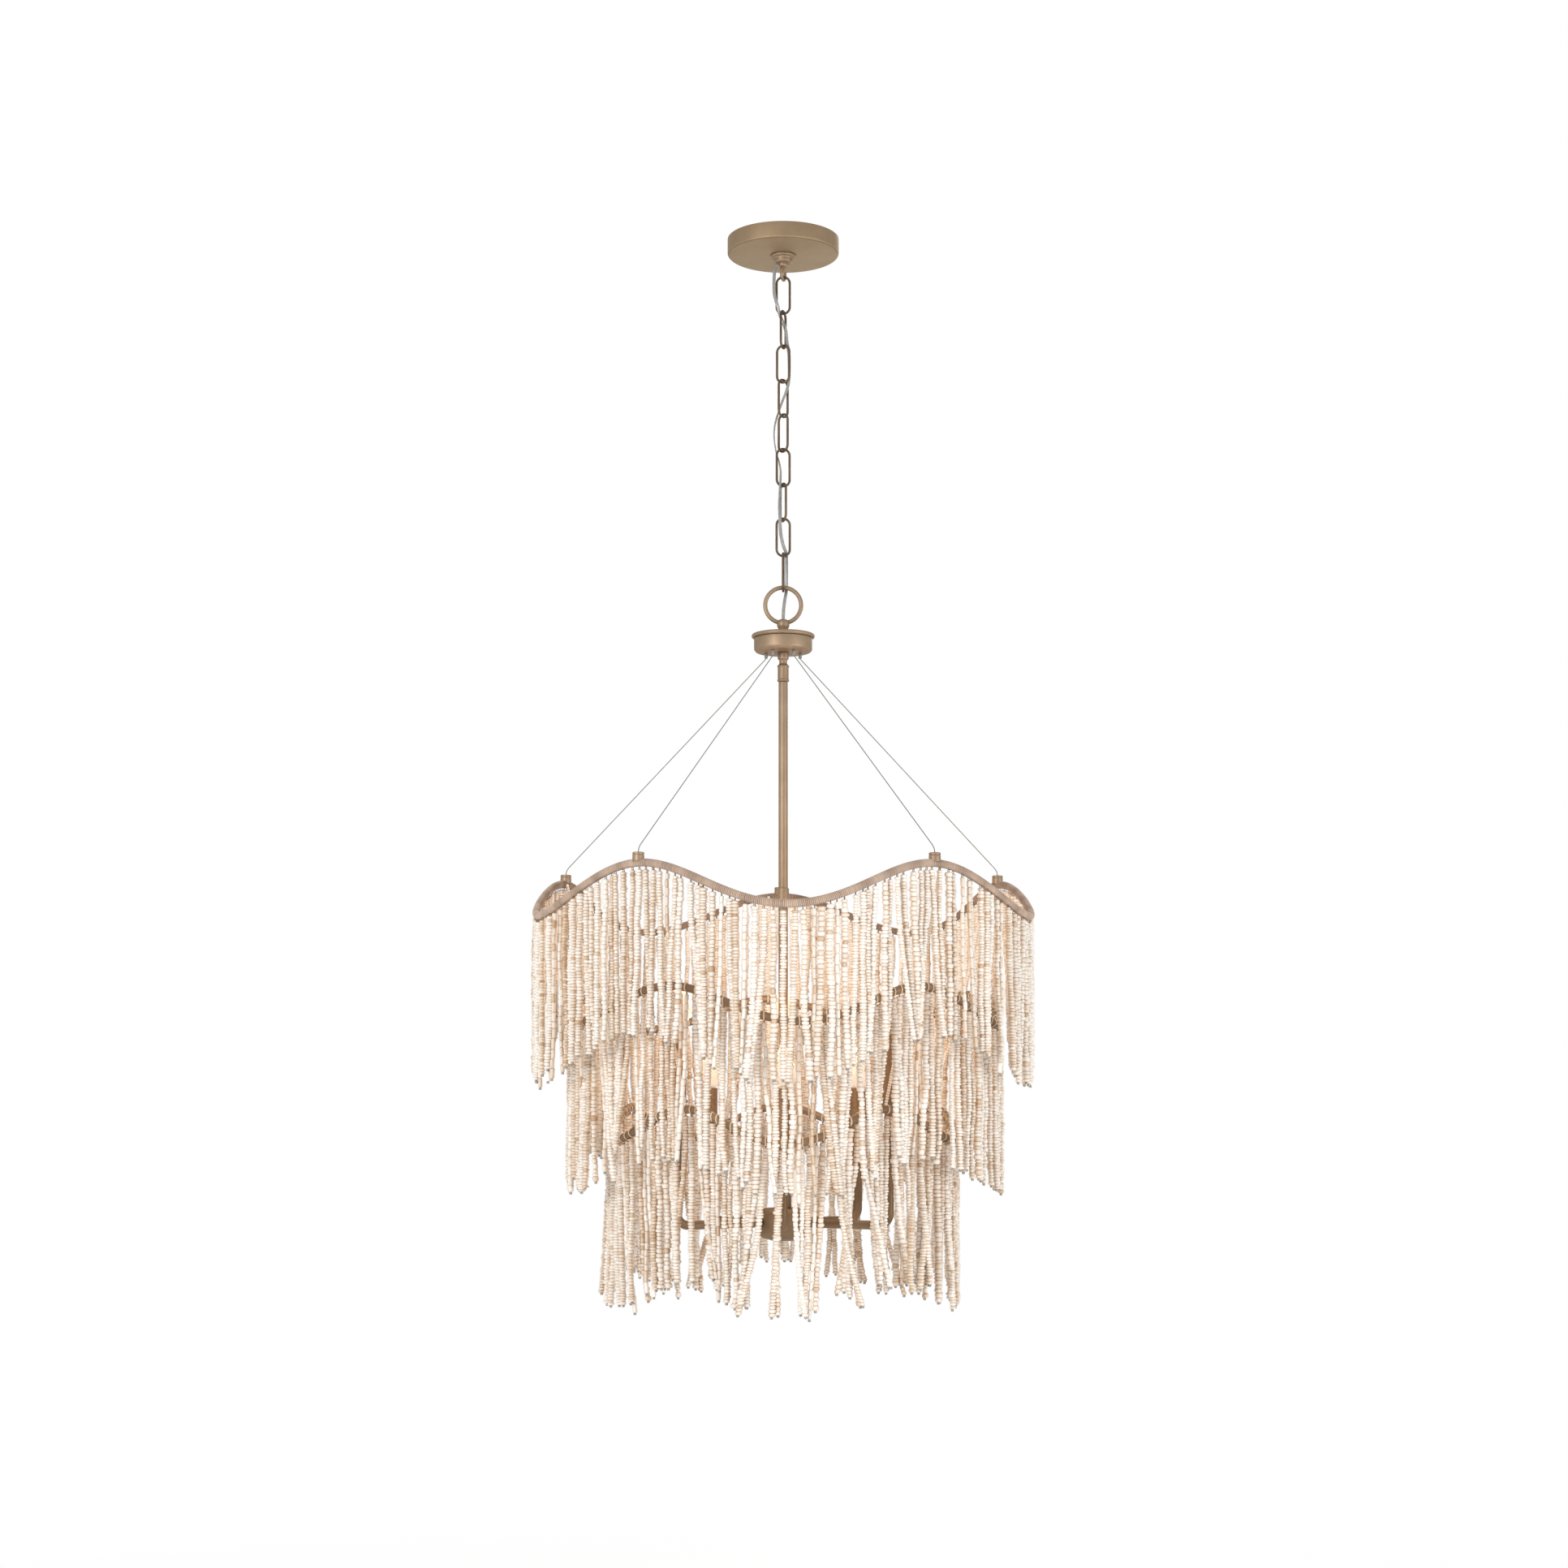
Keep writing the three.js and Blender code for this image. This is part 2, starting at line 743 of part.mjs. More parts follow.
// Each lamp is drawn with its arm along +X
function lampArm(lamp) {
  const reach = reachOf(lamp);
  const turn = new THREE.Vector3(reach - armBend, 0, armHeight + armBend);
  const points = [new THREE.Vector3(clusterDiameter / 2 + seat, 0, armHeight)];
  for (let step = 0; step <= bendSteps; step += 1) {
    const angle = (step / bendSteps) * (Math.PI / 2);
    points.push(
      new THREE.Vector3(turn.x + armBend * Math.sin(angle), 0, turn.z - armBend * Math.cos(angle)),
    );
  }
  const foot = armHeight + lamp.rise;
  points.push(new THREE.Vector3(reach, 0, foot + cupBellyHeight / 2));
  const rim = foot + lampCupHeight;
  const socketTop = rim + seat + sleeveLength - bulbBaseLength;
  const profile = [
    [0, foot],
    [cupFootDiameter / 2, foot],
    [cupBellyDiameter / 2, foot + cupBellyHeight],
    [cupRimDiameter / 2, rim],
    [socketDiameter / 2, rim],
    [socketDiameter / 2, socketTop],
    [0, socketTop],
  ];
  const cup = revolve(profile, tinySides).translate(reach, 0, 0);
  return join(openTube(points, armTube, wireSides), cup);
}

function bulb(lamp) {
  const top = armHeight + lamp.rise + lampCupHeight + seat + sleeveLength;
  const profile = [
    [0, top - bulbBaseLength + seat],
    [bulbBaseDiameter / 2, top - bulbBaseLength + seat],
    [bulbBaseDiameter / 2, top],
    [bulbNeckDiameter / 2, top + seat],
    [bulbDiameter / 2, top + bulbHeight / 3],
    [(bulbDiameter + bulbNeckDiameter) / 4, top + (2 * bulbHeight) / 3],
    [bulbTipDiameter / 2, top + bulbHeight],
    [0, top + bulbHeight],
  ];
  return revolve(profile, tinySides).translate(reachOf(lamp), 0, 0);
}

function candleSleeve(lamp) {
  const bottom = armHeight + lamp.rise + lampCupHeight + seat;
  const bore = sleeveDiameter - 2 * sleeveWall;
  const sleeve = pipe(sleeveDiameter, bore, bottom, bottom + sleeveLength, tinySides);
  return sleeve.translate(reachOf(lamp), 0, 0);
}

add("cluster_body", clusterBody(), darkMetal);
const lampCount = 6;
for (let index = 0; index < lampCount; index += 1) {
  const lamp = index % 2 ? highLamp : lowLamp;
  const branch = new THREE.Group();
  branch.rotation.z = (index / lampCount) * 2 * Math.PI - Math.PI / 2;
  chandelier.add(branch);
  add(`lamp_arm_${index + 1}`, lampArm(lamp), darkMetal, branch);
  add(`candle_sleeve_${index + 1}`, candleSleeve(lamp), card, branch);
  add(`bulb_${index + 1}`, bulb(lamp), glow, branch);
}

// Lamp cord
const cordPoints = cordRoute.map(([x, y, z]) => new THREE.Vector3(x, y, z));
add("lamp_cord", openTube(cordPoints, cordDiameter, thinSides), clearCord);

export default chandelier;
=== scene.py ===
"""Looks of a beaded chandelier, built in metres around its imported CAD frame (+Z up, viewer at -Y)."""

import json
import math

import bpy
import numpy as np
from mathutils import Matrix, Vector


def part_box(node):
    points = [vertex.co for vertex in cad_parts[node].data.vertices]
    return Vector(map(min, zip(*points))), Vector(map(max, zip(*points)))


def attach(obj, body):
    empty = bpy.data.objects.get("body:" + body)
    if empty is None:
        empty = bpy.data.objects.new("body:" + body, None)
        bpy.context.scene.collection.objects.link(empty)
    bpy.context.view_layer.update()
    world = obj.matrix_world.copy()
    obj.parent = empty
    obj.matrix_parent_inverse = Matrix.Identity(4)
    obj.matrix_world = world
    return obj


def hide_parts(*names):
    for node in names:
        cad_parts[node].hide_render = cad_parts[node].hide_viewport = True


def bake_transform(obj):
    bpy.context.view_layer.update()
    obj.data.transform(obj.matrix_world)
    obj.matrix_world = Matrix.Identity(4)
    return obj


MM = 0.001
TAU = 2 * math.pi
UP = np.array([0, 0, 1])
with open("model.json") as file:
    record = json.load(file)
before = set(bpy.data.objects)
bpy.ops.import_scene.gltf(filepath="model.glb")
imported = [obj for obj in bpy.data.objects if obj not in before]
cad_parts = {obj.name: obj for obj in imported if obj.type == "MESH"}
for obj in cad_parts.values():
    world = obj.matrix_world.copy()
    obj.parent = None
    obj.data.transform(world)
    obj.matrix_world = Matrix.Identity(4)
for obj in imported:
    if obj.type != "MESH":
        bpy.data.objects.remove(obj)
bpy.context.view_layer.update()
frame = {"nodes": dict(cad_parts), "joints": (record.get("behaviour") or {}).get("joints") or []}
rng = np.random.default_rng(31)


def placed(name, data):
    """A new object in the scene."""
    made = bpy.data.objects.new(name, data)
    bpy.context.scene.collection.objects.link(made)
    return made


# Camera: it stands level with the shade and looks slightly up, as in the photograph
CAMERA_PLACE = (0.001, -3.075, -1.060)
CAMERA_PITCH = math.radians(6.77)
CAMERA_LENS = 57.56
SENSOR_WIDTH = 36
FARTHEST = 200
camera = placed("camera", bpy.data.cameras.new("camera"))
camera.data.lens = CAMERA_LENS
camera.data.sensor_width = SENSOR_WIDTH
camera.data.clip_end = FARTHEST
camera.location = CAMERA_PLACE
camera.rotation_euler = (math.pi / 2 + CAMERA_PITCH, 0, 0)
bpy.context.scene.camera = camera
bpy.context.scene.view_settings.view_transform = "Standard"

# Materials: scales of a noise are in waves to the metre, heights of a bump in metres
NOISE_ROUGHNESS = 0.55
CLOUD_SCALE = 24
GRAIN_SCALE = 420
GRAIN_STRETCH = (1, 1, 0.12)
FINE_BUMP = 0.0001
COARSE_BUMP = 0.0002
# sockets of a Mix node that mixes colours
MIX_FACTOR = 0
MIX_FIRST = 6
MIX_SECOND = 7
MIX_RESULT = 2


def linear(colour):
    """A colour as the eye sees it, 0 to 255, for a shader."""
    shares = [c / 255 for c in colour]
    return [c / 12.92 if c <= 0.04045 else ((c + 0.055) / 1.055) ** 2.4 for c in shares] + [1.0]


class Look:
    """A node material with one Principled shader."""

    def __init__(self, name, **sockets):
        self.material = bpy.data.materials.new(name)
        self.material.use_nodes = True
        self.tree = self.material.node_tree
        self.shader = self.tree.nodes["Principled BSDF"]
        self.set(self.shader, sockets)

    def set(self, node, sockets):
        """Links a node's sockets to others, or gives them values."""
        for key, value in sockets.items():
            socket = node.inputs[key.replace("_", " ")]
            if isinstance(value, bpy.types.NodeSocket):
                self.tree.links.new(value, socket)
            else:
                socket.default_value = value

    def node(self, kind, attributes=None, **sockets):
        made = self.tree.nodes.new(kind)
        for key, value in (attributes or {}).items():
            setattr(made, key, value)
        self.set(made, sockets)
        return made

    def place(self):
        return self.node("ShaderNodeTexCoord").outputs["Object"]

    def tint(self):
        """The tint that each vertex of a mesh carries."""
        return self.node("ShaderNodeAttribute", {"attribute_name": "tint"}).outputs["Fac"]

    def noise(self, scale, detail, stretch=(1, 1, 1)):
        spot = self.node("ShaderNodeMapping", Vector=self.place(), Scale=stretch).outputs["Vector"]
        made = self.node(
            "ShaderNodeTexNoise", Vector=spot, Scale=scale, Detail=detail, Roughness=NOISE_ROUGHNESS
        )
        return made.outputs["Fac"]

    def ramp(self, factor, *stops):
        """Colours at stops of a factor, as a shader takes them."""
        made = self.node("ShaderNodeValToRGB", Fac=factor)
        elements = made.color_ramp.elements
        while len(elements) < len(stops):
            elements.new(1.0)
        for element, (position, colour) in zip(elements, stops):
            element.position = position
            element.color = colour
        return made.outputs["Color"]

    def tones(self, factor, *stops):
        """Colours at stops of a factor, as the eye sees them."""
        return self.ramp(factor, *((position, linear(colour)) for position, colour in stops))

    def multiply(self, first, second):
        """The product of two colours."""
        made = self.node("ShaderNodeMix", {"data_type": "RGBA", "blend_type": "MULTIPLY"})
        made.inputs[MIX_FACTOR].default_value = 1.0
        self.tree.links.new(first, made.inputs[MIX_FIRST])
        self.tree.links.new(second, made.inputs[MIX_SECOND])
        return made.outputs[MIX_RESULT]

    def spread(self, factor, low, high):
        """A factor of 0 to 1, spread from low to high."""
        return self.node("ShaderNodeMapRange", Value=factor, To_Min=low, To_Max=high).outputs["Result"]

    def bump(self, height, distance, strength):
        made = self.node("ShaderNodeBump", Height=height, Distance=distance, Strength=strength)
        self.set(self.shader, {"Normal": made.outputs["Normal"]})


def metal_look(name, dark, middle, light, roughness, metallic=0.5, edge=(0.45, 0.38, 0.32, 1), painted_light_bands=None):
    """Satin painted metal: soft cloudy tone and a fine grain.

    The bands of painted shade and highlight by height are a low and a high level in millimetres, then the
    stops of a ramp between them.
    """
    look = Look(name, Metallic=metallic, Specular_IOR_Level=0.3, Specular_Tint=edge)
    clouds = look.noise(CLOUD_SCALE, 4)
    grain = look.noise(GRAIN_SCALE, 2, GRAIN_STRETCH)
    tone = look.tones(clouds, (0.25, dark), (0.52, middle), (0.8, light))
    # painted shade and highlight: the tone is darkened or lightened by height
    if painted_light_bands:
        low, high, *stops = painted_light_bands
        height = look.node("ShaderNodeSeparateXYZ", Vector=look.place()).outputs["Z"]
        level = look.node("ShaderNodeMapRange", Value=height, From_Min=low * MM, From_Max=high * MM)
        tone = look.multiply(tone, look.ramp(level.outputs["Result"], *stops))
    gloss = look.spread(grain, roughness - 0.05, roughness + 0.07)
    look.set(look.shader, {"Base Color": tone, "Roughness": gloss})
    look.bump(grain, FINE_BUMP, 0.12)
    return look.material


def bead_look():
    """Cream beads, each a little different, some tan or peach, and chalky."""
    look = Look("cream_beads", Roughness=0.55, Specular_IOR_Level=0.4)
    tone = look.tones(
        look.tint(),
        (0.0, (186, 150, 116)),
        (0.15, (213, 188, 160)),
        (0.4, (233, 220, 206)),
        (0.7, (248, 243, 236)),
        (0.92, (252, 247, 241)),
        (1.0, (245, 228, 215)),
    )
    grain = look.noise(500, 3)
    speck = look.ramp(grain, (0.3, (0.97, 0.955, 0.94, 1)), (0.55, (1, 1, 1, 1)))
    look.set(look.shader, {"Base Color": look.multiply(tone, speck)})
    look.bump(grain, COARSE_BUMP, 0.3)
    return look.material


def wrap_look():
    """Wound cord of a muted taupe: the tone follows the thread and the painted shade carried in the tint,
    with a matte fibre grain.
    """
    look = Look("wound_cord", Roughness=0.88, Specular_IOR_Level=0.25, Sheen_Weight=0.25)
    tone = look.tones(look.tint(), (0.0, (92, 74, 58)), (0.4, (176, 152, 134)), (1.0, (212, 190, 172)))
    clouds = look.ramp(look.noise(30, 3), (0.35, (0.9, 0.88, 0.86, 1)), (0.65, (1.05, 1.04, 1.03, 1)))
    fibre = look.noise(1500, 2)
    look.set(look.shader, {"Base Color": look.multiply(tone, clouds)})
    look.bump(fibre, COARSE_BUMP, 0.6)
    return look.material


def plain_look(name, low, high, scale, roughness, **sockets):
    """One tone that drifts a little, with a light grain in its gloss."""
    look = Look(name, **sockets)
    grain = look.noise(scale, 3)
    tone = look.tones(grain, (0.35, low), (0.65, high))
    gloss = look.spread(grain, roughness - 0.05, roughness + 0.08)
    look.set(look.shader, {"Base Color": tone, "Roughness": gloss})
    look.bump(grain, FINE_BUMP, 0.3)
    return look.material


def bulb_look():
    """A lit frosted bulb, warm and not quite even."""
    look = Look("lit_bulb", Roughness=0.25, Emission_Strength=0.3)
    drift = look.noise(25, 1)
    glass = look.tones(drift, (0.3, (240, 212, 180)), (0.7, (246, 224, 198)))
    glow = look.tones(drift, (0.3, (255, 242, 226)), (0.7, (255, 248, 238)))
    look.set(look.shader, {"Base Color": glass, "Emission Color": glow})
    return look.material


champagne = metal_look("champagne", (140, 119, 97), (150, 129, 107), (161, 140, 118), 0.46)
bronze = metal_look("bronze", (118, 97, 74), (134, 112, 88), (150, 128, 104), 0.46)
# a lighter copy of bronze, painted light to make up for the shade the hoops hang in
lightened_hoop_bronze = metal_look("lightened_hoop_bronze", (134, 111, 87), (150, 127, 102), (166, 143, 118), 0.46)
chain_gold = metal_look("chain_gold", (84, 69, 53), (98, 83, 66), (118, 101, 82), 0.4)
zinc = metal_look("zinc", (150, 150, 148), (172, 172, 170), (190, 190, 188), 0.35)
cream_beads = bead_look()
wound_cord = wrap_look()
thread = plain_look("thread", (222, 204, 182), (240, 226, 208), 900, 0.8)
crimp_grey = plain_look("crimp_grey", (142, 138, 134), (184, 180, 174), 500, 0.4, Metallic=0.45)
# the eyes' dark metal tone also stands in for the shade between strands under the ring
eye_dark = plain_look("eye_dark", (96, 82, 68), (130, 112, 92), 500, 0.4, Metallic=0.6)
wire_rope = plain_look("wire_rope", (128, 126, 120), (146, 144, 138), 800, 0.6, Metallic=0.15)
clear_cord = plain_look(
    "clear_cord", (126, 125, 122), (154, 153, 150), 600, 0.3, Coat_Weight=0.4, Coat_Roughness=0.15
)
candle_card = plain_look("candle_card", (132, 101, 71), (152, 120, 88), 300, 0.5, Metallic=0.3)
lit_bulb = bulb_look()


# Meshes
class Mesh:
    """Gathers vertices in millimetres, faces and a tint for each vertex, then makes one object."""

    def __init__(self):
        self.points = []
        self.tints = []
        self.faces = []
        self.count = 0

    def grid(self, points, closed=False, tint=0.5):
        """Adds a tube: points[i][j] is corner j of ring i along it. An open tube gets a face at each end."""
        rings, sides = points.shape[:2]
        ids = self.count + np.arange(rings * sides).reshape(rings, sides)
        here = ids if closed else ids[:-1]
        after = np.roll(ids, -1, axis=0) if closed else ids[1:]
        quads = np.stack([here, np.roll(here, -1, 1), np.roll(after, -1, 1), after], -1).reshape(-1, 4)
        self.faces.extend(quads.tolist())
        if not closed:
            self.faces.extend([ids[0, ::-1].tolist(), ids[-1].tolist()])
        if np.ndim(tint):
            tint = np.reshape(tint, (rings, -1))
        self.points.append(points.reshape(-1, 3))
        self.tints.append(np.broadcast_to(tint, (rings, sides)).reshape(-1))
        self.count += rings * sides

    def finish(self, name, material, body, slot, replaced=(), sharp=35):
        data = bpy.data.meshes.new(name)
        data.from_pydata(np.concatenate(self.points) * MM, [], self.faces)
        attribute = data.attributes.new("tint", "FLOAT", "POINT")
        attribute.data.foreach_set("value", np.concatenate(self.tints).astype(np.float32))
        data.shade_smooth()
        data.set_sharp_from_angle(angle=math.radians(sharp))
        data.materials.append(material)
        piece = placed(name, data)
        if body:
            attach(piece, body)
        if replaced:
            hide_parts(*replaced)
        return piece


def unit(vectors):
    return vectors / np.maximum(np.linalg.norm(vectors, axis=-1, keepdims=True), 1e-12)


def full_turn(count):
    """Angles spread evenly over a full turn."""
    return np.arange(count) / count * TAU


def walked(line):
    """The way along a line to each of its points."""
    return np.concatenate([[0], np.cumsum(np.linalg.norm(np.diff(line, axis=0), axis=1))])


def leaned(start, corner, end, shares):
    """Points at shares of the way along a curve from start to end that leans towards corner."""
    return [(1 - t) ** 2 * start + 2 * t * (1 - t) * corner + t * t * end for t in shares]


def circle(middle, radius, count, across):
    """Points of an upright circle, in the plane of the level direction across."""
    angle = full_turn(count)[:, None]
    return middle + radius * np.cos(angle) * across + radius * np.sin(angle) * UP


def tube(path, radius, sides, closed=False, hint=UP, flat=1.0):
    """Corners of a tube along path.

    hint is roughly the direction of the first corner, one for all rings or one each, and flat squeezes
    the tube at right angles to it.
    """
    path = np.asarray(path, float)
    if closed:
        tangent = unit(np.roll(path, -1, 0) - np.roll(path, 1, 0))
    else:
        tangent = unit(np.gradient(path, axis=0))
    wide = np.broadcast_to(np.asarray(hint, float), path.shape)
    wide = unit(wide - (wide * tangent).sum(-1, keepdims=True) * tangent)
    thin = np.cross(tangent, wide)
    angle = full_turn(sides)
    radius = np.broadcast_to(np.asarray(radius, float), (len(path),))[:, None, None]
    ring = np.cos(angle)[None, :, None] * wide[:, None] + flat * np.sin(angle)[None, :, None] * thin[:, None]
    return path[:, None] + radius * ring


def lathe(mesh, profile, sides, centre=(0, 0)):
    """Turns a profile of (radius, height) pairs about an upright axis, with a face across each end."""
    profile = np.asarray(profile, float)
    angle = full_turn(sides)
    points = np.empty((len(profile), sides, 3))
    points[..., 0] = centre[0] + profile[:, :1] * np.cos(angle)
    points[..., 1] = centre[1] + profile[:, :1] * np.sin(angle)
    points[..., 2] = profile[:, 1:]
    mesh.grid(points)


CORNER_STEPS = 4
CORNER_SHARE = 0.45


def rounded(profile, radius):
    """The profile with each corner between its ends rounded, as far as the sides allow."""
    points = [np.asarray(p, float) for p in profile]
    out = [points[0]]
    for before, corner, after in zip(points, points[1:], points[2:]):
        ways = [before - corner, after - corner]
        lengths = [np.linalg.norm(w) for w in ways]
        reach = min(radius, *(CORNER_SHARE * length for length in lengths))
        start, end = (corner + w / length * reach for w, length in zip(ways, lengths))
        out += leaned(start, corner, end, np.linspace(0, 1, CORNER_STEPS))
    out.append(points[-1])
    return out


def turned(name, node, profile, material, body="fixture", slot="metal", sides=72, soften=0.5):
    """A turned piece in place of a CAD node, with softened edges."""
    mesh = Mesh()
    lathe(mesh, rounded(profile, soften), sides)
    return mesh.finish(name, material, body, slot, [node])


def span(node):
    """Middle, radius, bottom and top of a CAD node, in millimetres."""
    low, high = (np.array(v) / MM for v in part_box(node))
    middle = (low + high) / 2
    return middle[:2], (high - low)[0] / 2, low[2], high[2]


# Canopy and collar
NIPPLE_HOLE = 5.2
COLLAR_BORE = 5.9
COLLAR_RADIUS = 11.65
PAN_WALL = 1.2
PAN_EDGE = 1.8
BAND_HEIGHT = 4.0
_, pan_radius, pan_bottom, pan_top = span("canopy_pan")
pan_profile = [
    (NIPPLE_HOLE, pan_bottom),
    (pan_radius - PAN_EDGE, pan_bottom),
    (pan_radius, pan_bottom + PAN_EDGE),
    (pan_radius, pan_top),
    (pan_radius - PAN_WALL, pan_top),
    (pan_radius - PAN_WALL, pan_bottom + PAN_EDGE),
    (pan_radius - PAN_EDGE, pan_bottom + PAN_WALL),
    (NIPPLE_HOLE, pan_bottom + PAN_WALL),
]
# painted shade and highlight by height: the wall is a little darker than the face, its rolled edge lighter,
# and a dark line lies between face and edge
pan_painted_light_bands = (
    pan_bottom,
    pan_bottom + BAND_HEIGHT,
    (0.02, (1, 1, 1, 1)),
    (0.07, (0.72, 0.69, 0.66, 1)),
    (0.22, (0.76, 0.73, 0.7, 1)),
    (0.32, (0.98, 0.97, 0.96, 1)),
    (0.48, (0.96, 0.95, 0.94, 1)),
    (0.62, (0.8, 0.78, 0.77, 1)),
)
pan_paint = metal_look(
    "pan_paint",
    (152, 132, 105),
    (159, 139, 112),
    (165, 145, 118),
    roughness=0.6,
    metallic=0.85,
    edge=(0.95, 0.91, 0.87, 1),
    painted_light_bands=pan_painted_light_bands,
)
turned("canopy_dish", "canopy_pan", pan_profile, pan_paint, "canopy", sides=144, soften=1.0)

_, flange_radius, collar_bottom, collar_top = span("screw_collar")
collar_profile = [
    (COLLAR_BORE, collar_bottom),
    (9.9, collar_bottom),
    (COLLAR_RADIUS, collar_bottom + 1.6),
    (COLLAR_RADIUS, collar_bottom + 5.2),
    (12.4, collar_bottom + 6.7),
    (flange_radius - 1.4, collar_bottom + 6.7),
    (flange_radius, collar_bottom + 8.0),
    (flange_radius, collar_top),
    (NIPPLE_HOLE, collar_top),
    (NIPPLE_HOLE, collar_top - 5.0),
    (COLLAR_BORE, collar_top - 5.2),
]
turned("collar_ring", "screw_collar", collar_profile, champagne, "canopy", soften=0.6)

# Bent wires: the canopy's loop and the chain's links
BEND_STEPS = 14
LEG_SHARES = (0.25, 0.47, 0.49, 0.5, 0.51, 0.53, 0.75)
WIRE_SIDES = 16


def wire_line(width, length, wire):
    """Middle line of a wire bent into a loop with straight legs, in the XZ plane."""
    bend = (width - wire) / 2
    leg = (length - width) / 2
    path = []
    for side in (1, -1):
        for angle in np.linspace(0, math.pi, BEND_STEPS):
            path.append((side * bend * math.cos(angle), 0, side * (leg + bend * math.sin(angle))))
        for share in LEG_SHARES:
            path.append((-side * bend, 0, side * (leg - 2 * leg * share)))
    return np.array(path)


def bent_wire(line, radius, degrees, middle):
    """Corners of a bent wire that is turned about the vertical, with its middle at a height."""
    angle = math.radians(degrees)
    cosine, sine = math.cos(angle), math.sin(angle)
    points = tube(line, radius, WIRE_SIDES, True, (0, 1, 0))
    points = points @ np.array([[cosine, sine, 0], [-sine, cosine, 0], [0, 0, 1]])
    points[..., 2] += middle
    return points


LOOP_WIRE = 4.1
LOOP_WIDTH = 17.0
LOOP_TURN = 70
NECK_LENGTH = 4.1
NECK_RADIUS = 5.5
_, _, loop_bottom, neck_top = span("canopy_loop")
loop_top = collar_bottom - NECK_LENGTH
neck = [
    (0, loop_top - 1.4),
    (4.6, loop_top - 0.8),
    (NECK_RADIUS, loop_top + 1.2),
    (NECK_RADIUS, neck_top),
    (0, neck_top),
]
loop_line = wire_line(LOOP_WIDTH, loop_top - loop_bottom + LOOP_WIRE / 2, LOOP_WIRE)
loop_middle = (loop_top + loop_bottom + LOOP_WIRE / 2) / 2
mesh = Mesh()
lathe(mesh, rounded(neck, 0.8), 40)
mesh.grid(bent_wire(loop_line, LOOP_WIRE / 2, LOOP_TURN, loop_middle), True)
mesh.finish("hanging_loop", champagne, "canopy", "metal", ["canopy_loop"])

# each link has the butt seam of a bent wire in one leg
LINK_WIRE = 3.0
LINK_WIDTH = 19.6
LINK_LENGTH = 50.8
LINK_TURNS = [-5, 69, -21, 48, -48, 15, -66, 8, 88]
SEAM = BEND_STEPS + LEG_SHARES.index(0.5)
SEAM_SHARE = 0.62
SEAM_EDGE_SHARE = 0.97
WIRE_WAVER = 0.03
link_line = wire_line(LINK_WIDTH, LINK_LENGTH, LINK_WIRE)
link_radius = np.full(len(link_line), LINK_WIRE / 2)
link_radius[SEAM] *= SEAM_SHARE
link_radius[[SEAM - 1, SEAM + 1]] *= SEAM_EDGE_SHARE
link_radius += WIRE_WAVER * np.sin(np.arange(len(link_line)))
for number, degrees in enumerate(LINK_TURNS, 1):
    _, _, low, high = span(f"chain_link_{number}")
    mesh = Mesh()
    mesh.grid(bent_wire(link_line, link_radius, degrees, (low + high) / 2), True)
    mesh.finish(f"link_{number}_wire", chain_gold, f"link_{number}", "metal", [f"chain_link_{number}"])

# Ring, knob and hub
RING_WIRE = 5.3
_, _, ring_low, ring_high = span("hanging_ring")
ring_middle = np.array([0, 0, (ring_low + ring_high) / 2])
ring_line = circle(ring_middle, (ring_high - ring_low - RING_WIRE) / 2, 96, np.array([1, 0, 0]))
mesh = Mesh()
mesh.grid(tube(ring_line, RING_WIRE / 2, 24, True, (0, 1, 0)), True)
mesh.finish("ring_wire", champagne, "fixture", "metal", ["hanging_ring"])

KNOB_FOOT = 8.5
_, _, knob_bottom, knob_top = span("ring_knob")
wire_low = ring_low + RING_WIRE / 2
knob_profile = [
    (0, knob_bottom),
    (KNOB_FOOT, knob_bottom),
    (KNOB_FOOT, knob_bottom + 1.6),
    (5.7, knob_bottom + 3.4),
    (5.6, knob_bottom + 5.2),
    (7.7, wire_low - 4.2),
    (7.9, wire_low),
    (7.0, wire_low + 2.6),
    (4.8, wire_low + 4.2),
    (2.2, knob_top),
    (0, knob_top),
]
turned("knob", "ring_knob", knob_profile, champagne, sides=56, soften=1.4)

_, lid_radius, lid_bottom, lid_top = span("hub_lid")
lid_profile = [
    (0, lid_bottom),
    (lid_radius - 1.2, lid_bottom),
    (lid_radius, lid_bottom + 1.4),
    (lid_radius, lid_top - 1.6),
    (lid_radius - 1.6, lid_top),
    (lid_radius - 4.2, lid_top - 0.7),
    (14, lid_top - 0.2),
    (11.5, lid_top),
    (0, lid_top),
]
turned("hub_cover", "hub_lid", lid_profile, champagne, sides=120, soften=0.9)

CUP_WALL = 1.6
CUP_CORNER = 3
CUP_HOLE = 4
_, cup_radius, cup_bottom, cup_top = span("hub_cup")
cup_profile = [
    (CUP_HOLE, cup_bottom),
    (cup_radius - CUP_CORNER, cup_bottom),
    (cup_radius, cup_bottom + CUP_CORNER),
    (cup_radius, cup_top),
    (cup_radius - CUP_WALL, cup_top),
    (cup_radius - CUP_WALL, cup_bottom + CUP_CORNER),
    (CUP_HOLE, cup_bottom + CUP_WALL),
]
turned("hub_bowl", "hub_cup", cup_profile, champagne, sides=120, soften=2.0)

